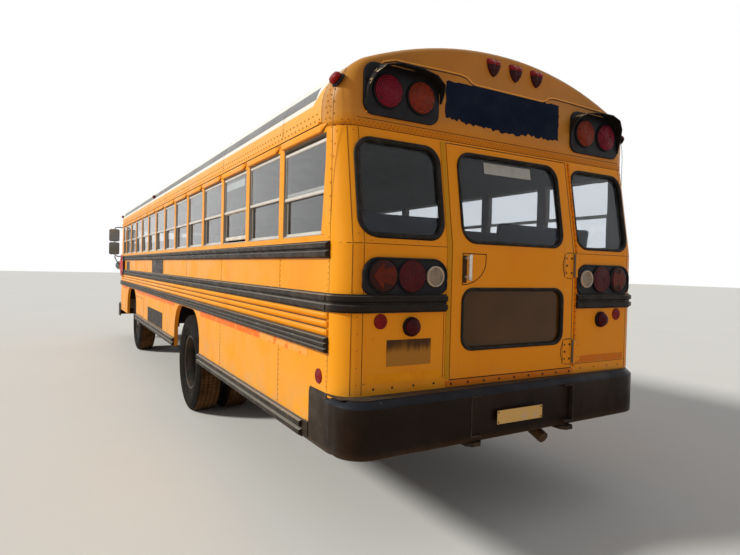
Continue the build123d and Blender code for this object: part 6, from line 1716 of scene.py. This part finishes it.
def rear_wheels(side, name):
    """The twin wheels of one side, with their hub."""
    tyres, rims, hubs = Piece(), Piece(), Piece()
    outward = (0, side, 0)
    middle = (REAR_OUTER_Y + REAR_INNER_Y) / 2
    for y in (REAR_OUTER_Y, REAR_INNER_Y):
        tyre(tyres, REAR_AXLE_X, side * y)
        barrel(rims, facing(at(REAR_AXLE_X, side * y, AXLE_Z), outward))
    for sign in SIDES:
        place = facing(at(REAR_AXLE_X, side * (middle + sign * 0.001), AXLE_Z), (0, side * sign, 0))
        holed_disc(rims, place, rear_disc, (0.158, 0.200))
    studs(hubs, facing(at(REAR_AXLE_X, side * (middle + 0.013), AXLE_Z), outward))
    hubs.lathe(REAR_HUB, facing(at(REAR_AXLE_X, side * middle, AXLE_Z), outward), 32)
    for n in range(8):
        a = math.pi * n / 4
        spot = at(REAR_AXLE_X + 0.083 * math.cos(a), side * (middle + 0.126), AXLE_Z + 0.083 * math.sin(a))
        hubs.lathe([(0.010, 0.0), (0.010, 0.008), (0.0, 0.010)], facing(spot, outward), 6, False)
    body = f"wheels_rear_{name}"
    tyres.make(f"worn_tyres_rear_{name}", "tyre", body, "tyre_rubber", [f"tyres_rear_{name}"])
    rims.make(f"dished_rims_rear_{name}", "rim", body, "rim_paint", [f"rims_rear_{name}"])
    hubs.make(f"hub_rear_{name}", "hub", body, "bare_steel")


def front_wheel(side, name):
    """The front wheel of one side, with its hub."""
    tyres, rims, hubs = Piece(), Piece(), Piece()
    centre = facing(at(FRONT_AXLE_X, side * FRONT_WHEEL_Y, AXLE_Z), (0, side, 0))
    tyre(tyres, FRONT_AXLE_X, side * FRONT_WHEEL_Y)
    barrel(rims, centre)
    holed_disc(rims, centre, front_disc, (0.168, 0.212))
    studs(hubs, centre @ Matrix.Translation((0, 0, 0.072)))
    hubs.lathe(FRONT_HUB, centre, 32)
    body = f"wheel_front_{name}"
    tyres.make(f"worn_tyre_front_{name}", "tyre", body, "tyre_rubber", [f"tyre_front_{name}"])
    rims.make(f"disc_rim_front_{name}", "rim", body, "rim_paint", [f"rim_front_{name}"])
    hubs.make(f"hub_front_{name}", "hub", body, "bare_steel")


def wheels():
    """Tyres, rims, hubs and nuts of all six wheels."""
    for side, name in NAMED_SIDES:
        rear_wheels(side, name)
        front_wheel(side, name)


# Mirrors, stop arm, seats and entry
MIRROR_X = 10.40
MIRROR_OUT = 0.141
MIRROR_FOOT_Y = 1.149
MIRROR_HEIGHTS = ((2.07, 2.33), (1.79, 2.05))
MIRROR_SHELL = ((-0.019, 0.004), (-0.015, 0.0), (0.004, 0.0), (0.014, 0.012), (0.019, 0.035))
BALL_AHEAD = 0.30
BALL_Z = 1.56
BALL_SHELL = [(0.0, 0.052), (0.030, 0.050), (0.065, 0.036), (0.088, 0.012), (0.094, 0.0), (0.0, 0.0)]
SIGN_X = 9.975
SIGN_Z = 1.56
SIGN_SIZE = 0.4570
SIGN_FACE_Y = HALF_WIDTH + 0.050
SIGN_LAMPS_Z = (1.70, 1.42)
SIGN_BOLTS_Z = (1.59, 1.53)
SIGN_BOLTS_X = (10.06, 10.15)


def mirrors():
    """Mirror heads with shells and glass on bent tubes, and the round mirrors ahead."""
    arms, shells, glasses = Piece(), Piece(), Piece()
    x = MIRROR_X
    for side in SIDES:
        y = side * (HALF_WIDTH + MIRROR_OUT)
        head_y = y + side * 0.010
        foot_y = side * MIRROR_FOOT_Y
        arms.tube([at(10.345, foot_y + side * 0.03, 2.37), at(10.375, side * 1.30, 2.372),
                   at(x, side * 1.345, 2.362), at(x, y, 2.33), at(x, y, 1.80),
                   at(10.395, side * 1.345, 1.765), at(10.37, side * 1.30, 1.752),
                   at(10.345, foot_y + side * 0.045, 1.75)], 0.011, 10)
        reach = []
        for n in range(9):
            t = n / 8
            sag = 0.03 * math.sin(math.pi * t)
            reach.append(at(x + BALL_AHEAD * t, y - side * MIRROR_OUT * t, 1.75 - 0.19 * t - sag))
        arms.tube(reach, 0.010, 10)
        for low, high in MIRROR_HEIGHTS:
            rings = []
            for depth, inset in MIRROR_SHELL:
                across = head_y - 0.1 + inset, head_y + 0.1 - inset
                outline = rounded(*across, low + inset, high - inset, 0.035, 5)
                rings.append([at(x + depth, a, b) for a, b in outline])
            shells.grid(rings, smooth=False, caps=True)
            outline = rounded(head_y - 0.09, head_y + 0.09, low + 0.010, high - 0.010, 0.028, 5)
            glasses.plate([at(x - 0.0192, a, b) for a, b in outline], REARWARD, 0.0006)
        place = facing(at(x + BALL_AHEAD, y - side * MIRROR_OUT, BALL_Z), FORWARD)
        shells.lathe(BALL_SHELL, place, 28)
        glasses.lathe([(0.0, -0.0005), (0.088, -0.0005), (0.088, 0.0), (0.0, 0.0)], place, 28)
    arms.make("mirror_arms", "mirror_case", slot="black_paint", replaces=["mirrors"])
    shells.make("mirror_shells", "mirror_case", slot="black_paint")
    glasses.make("mirror_glasses", "mirror", slot="bare_steel")


def stop_sign():
    """The folded stop arm's sign face: white border, lamps and bolts, with no words."""
    border, lights, bolts = Piece(), Piece(), Piece()
    outward = (0, 1, 0)
    radius = SIGN_SIZE / 2 / math.cos(math.radians(22.5)) - 0.012
    turn = [math.radians(22.5 + 45 * n) for n in range(8)]
    path = [at(SIGN_X - radius * math.cos(a), SIGN_FACE_Y, SIGN_Z + radius * math.sin(a)) for a in turn]
    section = [(-0.012, -0.0005), (-0.012, 0.0008), (0.002, 0.0008), (0.002, -0.0005)]
    border.sweep(flat(path, outward), section)
    for z in SIGN_LAMPS_Z:
        lamp(lights, at(SIGN_X, SIGN_FACE_Y, z), outward, 0.046, 0.008, 24)
    for z in SIGN_BOLTS_Z:
        for x in SIGN_BOLTS_X:
            rivet(bolts, at(x, SIGN_FACE_Y, z), outward, 0.008, 0.004)
    border.make("stop_sign_border", "sign_white", "stop_arm", "sign_red")
    lights.make("stop_sign_lamps", "bright_red", "stop_arm", "lens_red")
    bolts.make("stop_arm_bolts", "bolt", "stop_arm", "bare_steel")


def blow_up(obj, swell):
    """A form swollen by cloth pressure, each point by no more than a limit."""
    rest = [v.co.copy() for v in obj.data.vertices]
    cloth = obj.modifiers.new("cloth", "CLOTH")
    cloth.settings.use_pressure = True
    cloth.settings.uniform_pressure_force = 4.0
    cloth.settings.effector_weights.gravity = 0.0
    cloth.settings.quality = 5
    for number in range(1, 21):
        bpy.context.scene.frame_set(number)
    evaluated = obj.evaluated_get(bpy.context.evaluated_depsgraph_get())
    blown = [v.co.copy() for v in evaluated.data.vertices]
    obj.modifiers.remove(cloth)
    bpy.context.scene.frame_set(1)
    for vertex, before, after in zip(obj.data.vertices, rest, blown):
        shift = after - before
        if shift.length > swell:
            shift = shift.normalized() * swell
        vertex.co = before + shift


def soft_form(name, size, swell):
    """A padded block: a rounded closed form, blown up by cloth pressure where time allows."""
    mesh = bpy.data.meshes.new(name)
    shape = bmesh.new()
    bmesh.ops.create_cube(shape, size=1.0)
    for vertex in shape.verts:
        vertex.co = Vector([part * length for part, length in zip(vertex.co, size)])
    edge = min(size) * 0.30
    bmesh.ops.bevel(shape, geom=shape.edges[:], offset=edge, segments=3, profile=0.6, affect="EDGES")
    shape.to_mesh(mesh)
    shape.free()
    obj = placed(name, mesh)
    remesh = obj.modifiers.new("even", "REMESH")
    remesh.mode = "VOXEL"
    remesh.voxel_size = 0.024
    bpy.context.view_layer.objects.active = obj
    obj.select_set(True)
    bpy.ops.object.modifier_apply(modifier=remesh.name)
    blow_up(obj, swell)
    for vertex in obj.data.vertices:
        vertex.co = Vector([clamp(part, -length / 2, length / 2) for part, length in zip(vertex.co, size)])
    obj.select_set(False)
    mesh = obj.data
    bpy.data.objects.remove(obj)
    return mesh


def channelled(mesh, along, across, depth, lines, reach):
    """Sewn channels pressed into a padded form, across one axis."""
    for vertex in mesh.vertices:
        for line in lines:
            away = abs(vertex.co[across] - line)
            if away < reach:
                pull = depth * (1 - away / reach) ** 2
                vertex.co[along] -= math.copysign(min(pull, abs(vertex.co[along])), vertex.co[along])


def lean_mesh(mesh, height, shift):
    """A mesh sheared so that its top lies further back."""
    for vertex in mesh.vertices:
        vertex.co.x -= shift * (vertex.co.z / height + 0.5)


BACK_SIZE = (0.066, 0.954, 0.664)
CUSHION_SIZE = (0.382, 0.954, 0.104)
DRIVER_BACK_SIZE = (0.076, 0.474, 0.744)
DRIVER_CUSHION_SIZE = (0.440, 0.474, 0.104)
BACK_LEAN = 0.09
DRIVER_BACK_LEAN = 0.11
BENCH_ROWS = 12
BENCH_PITCH = 0.72
FIRST_BENCH_X = 0.52
BENCH_Y = 0.682
CUSHION_Z = 1.3555
DRIVER_X = 9.42
DRIVER_Y = 0.76


def seats():
    """Padded bench backs and cushions, each row alike, and the driver's seat."""
    back = soft_form("bench_back_form", BACK_SIZE, 0.012)
    channelled(back, 0, 1, 0.006, (-0.30, 0.0, 0.30), 0.03)
    lean_mesh(back, BACK_SIZE[2], BACK_LEAN)
    cushion = soft_form("bench_cushion_form", CUSHION_SIZE, 0.014)
    channelled(cushion, 2, 1, 0.006, (-0.30, 0.0, 0.30), 0.03)
    driver_back = soft_form("driver_back_form", DRIVER_BACK_SIZE, 0.014)
    channelled(driver_back, 0, 2, 0.010, (-0.05, 0.16), 0.04)
    lean_mesh(driver_back, DRIVER_BACK_SIZE[2], DRIVER_BACK_LEAN)
    driver_cushion = soft_form("driver_cushion_form", DRIVER_CUSHION_SIZE, 0.014)
    spots = []
    for n in range(BENCH_ROWS):
        x = FIRST_BENCH_X + BENCH_PITCH * n
        for side, name in NAMED_SIDES:
            spots.append((back, "bench_back", x - 0.035, side * BENCH_Y, 1.637, f"{name}_{n + 1}"))
            spots.append((cushion, "bench_cushion", x + 0.197, side * BENCH_Y, CUSHION_Z, f"{name}_{n + 1}"))
    spots.append((driver_back, "driver_back", DRIVER_X - 0.040, DRIVER_Y, 1.677, "seat"))
    spots.append((driver_cushion, "driver_cushion", DRIVER_X + 0.225, DRIVER_Y, CUSHION_Z, "seat"))
    for mesh in (back, cushion, driver_back, driver_cushion):
        mesh.polygons.foreach_set("use_smooth", [True] * len(mesh.polygons))
        mesh.materials.clear()
        mesh.materials.append(MATERIALS["seat"])
    for mesh, kind, x, y, z, label in spots:
        obj = placed(f"{kind}_{label}", mesh)
        obj.location = at(x, y, z)
        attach(obj, BODY)
        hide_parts("seat_backs" if "back" in kind else "seat_cushions")


def entry_fittings():
    """Rubbers round the panes of the entry door, and the radiator's core behind the grille."""
    section = [(-0.004, 0.012), (-0.004, 0.020), (0.012, 0.020), (0.014, -0.010)]
    for half in ("front", "rear"):
        low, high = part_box(f"entry_glass_{half}")
        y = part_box(f"entry_door_{half}")[0].y + 0.0145
        rubbers = Piece()
        for z0, z1 in ENTRY_GLASS:
            corners = rounded(low.x - REAR_FACE, high.x - REAR_FACE, z0, z1, 0.03, 3)[::-1]
            rubbers.sweep(flat([at(x, y, z) for x, z in corners], (0, -1, 0)), section)
        rubbers.make(f"entry_rubbers_{half}", "gasket", f"entry_leaf_{half}", "tyre_rubber")
    core = Piece()
    low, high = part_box("grille")
    inset = 0.012
    corners = rectangle(low.y + inset, high.y - inset, low.z + inset, high.z - inset)
    core.plate([Vector((low.x - 0.030, y, z)) for y, z in corners], FORWARD, 0.012, 0.002)
    core.make("radiator_core", "slats", slot="chassis_black")


panes = side_windows()
end_windows()
windshield(panes)
wipers()
panes.make("body_panes", "glass", slot="window_glass", replaces=["body_glass"])
rivets()
seams()
flutes()
visors()
housings()
lamps()
cap_relief()
sprayed_patches()
strips()
corner_fillers()
emergency_door_fittings()
rear_cap()
rear_bumper()
wheels()
mirrors()
stop_sign()
seats()
entry_fittings()


# Light, floor and background
SKY_LIGHT = 0.33
FLOOR_HALF = 90
SUN_STRENGTH = 2.95
SUN_SPREAD = 9
SUN_COLOR = (1.0, 0.99, 0.91)
TOWARD_SUN = Vector((0.30, 0.80, 0.52))
SENSOR_WIDTH = 36
LENS_SHARE = 547.05 / 740
CAMERA_PLACE = Vector((-7.8355, 2.506, 1.615))
CAMERA_HEADING = -0.526
CAMERA_PITCH = -0.016
CAMERA_ROLL = 0.024


def background():
    """White to the camera and in reflections, plain grey light otherwise."""
    world = bpy.data.worlds.new("studio")
    bpy.context.scene.world = world
    world.use_nodes = True
    tree = world.node_tree
    sky = tree.nodes["Background"]
    sky.inputs["Color"].default_value = (1, 1, 1, 1)
    rays = tree.nodes.new("ShaderNodeLightPath").outputs
    seen = rays["Is Camera Ray"]
    for kind in ("Is Transmission Ray", "Is Glossy Ray"):
        either = tree.nodes.new("ShaderNodeMath")
        either.operation = "MAXIMUM"
        tree.links.new(seen, either.inputs[0])
        tree.links.new(rays[kind], either.inputs[1])
        seen = either.outputs[0]
    strength = tree.nodes.new("ShaderNodeMapRange")
    strength.inputs["To Min"].default_value = SKY_LIGHT
    strength.inputs["To Max"].default_value = 1.0
    tree.links.new(seen, strength.inputs["Value"])
    tree.links.new(strength.outputs[0], sky.inputs["Strength"])


def ground():
    """A wide pale floor."""
    mesh = bpy.data.meshes.new("floor_sheet")
    corners = rectangle(-FLOOR_HALF, FLOOR_HALF, -FLOOR_HALF, FLOOR_HALF)
    mesh.from_pydata([(x, y, 0) for x, y in corners], [], [(0, 1, 2, 3)])
    sheet = placed("studio_floor", mesh)
    p = Paint("studio_floor", (0.86, 0.52, 0.28), Roughness=0.8)
    path = p.add("ShaderNodeLightPath").outputs
    seen = p.calc("MAXIMUM", path["Is Camera Ray"], path["Is Glossy Ray"])
    seen = p.calc("MAXIMUM", seen, path["Is Transmission Ray"])
    p.coat(seen, (0.80, 0.79, 0.77))
    p.coat(p.product(seen, p.span(p.noise(0.6, 4), 0.3, 0.7, 0.0, 0.4)), (0.76, 0.75, 0.73))
    p.relief(p.noise(40.0, 3), 0.002, 0.2)
    mesh.materials.append(p.material)


def lights():
    """A soft key light from the left and slightly ahead."""
    key = bpy.data.lights.new("key", "SUN")
    key.energy = SUN_STRENGTH
    key.angle = math.radians(SUN_SPREAD)
    key.color = SUN_COLOR
    placed("key", key).rotation_euler = TOWARD_SUN.to_track_quat("Z", "Y").to_euler()


def camera():
    """The photograph's view: behind the bus on its left."""
    data = bpy.data.cameras.new("view")
    data.sensor_width = SENSOR_WIDTH
    data.lens = LENS_SHARE * SENSOR_WIDTH
    obj = placed("view", data)
    heading, pitch, roll = CAMERA_HEADING, CAMERA_PITCH, CAMERA_ROLL
    level_share = math.cos(pitch)
    forward = Vector((level_share * math.cos(heading), level_share * math.sin(heading), math.sin(pitch)))
    level = Vector((math.sin(heading), -math.cos(heading), 0))
    lift = level.cross(forward)
    right = math.cos(roll) * level + math.sin(roll) * lift
    up = math.cos(roll) * lift - math.sin(roll) * level
    place = Matrix((right, up, -forward)).transposed().to_4x4()
    place.translation = CAMERA_PLACE
    obj.matrix_world = place
    bpy.context.scene.camera = obj


background()
ground()
lights()
camera()
bpy.context.scene.view_settings.view_transform = "Standard"
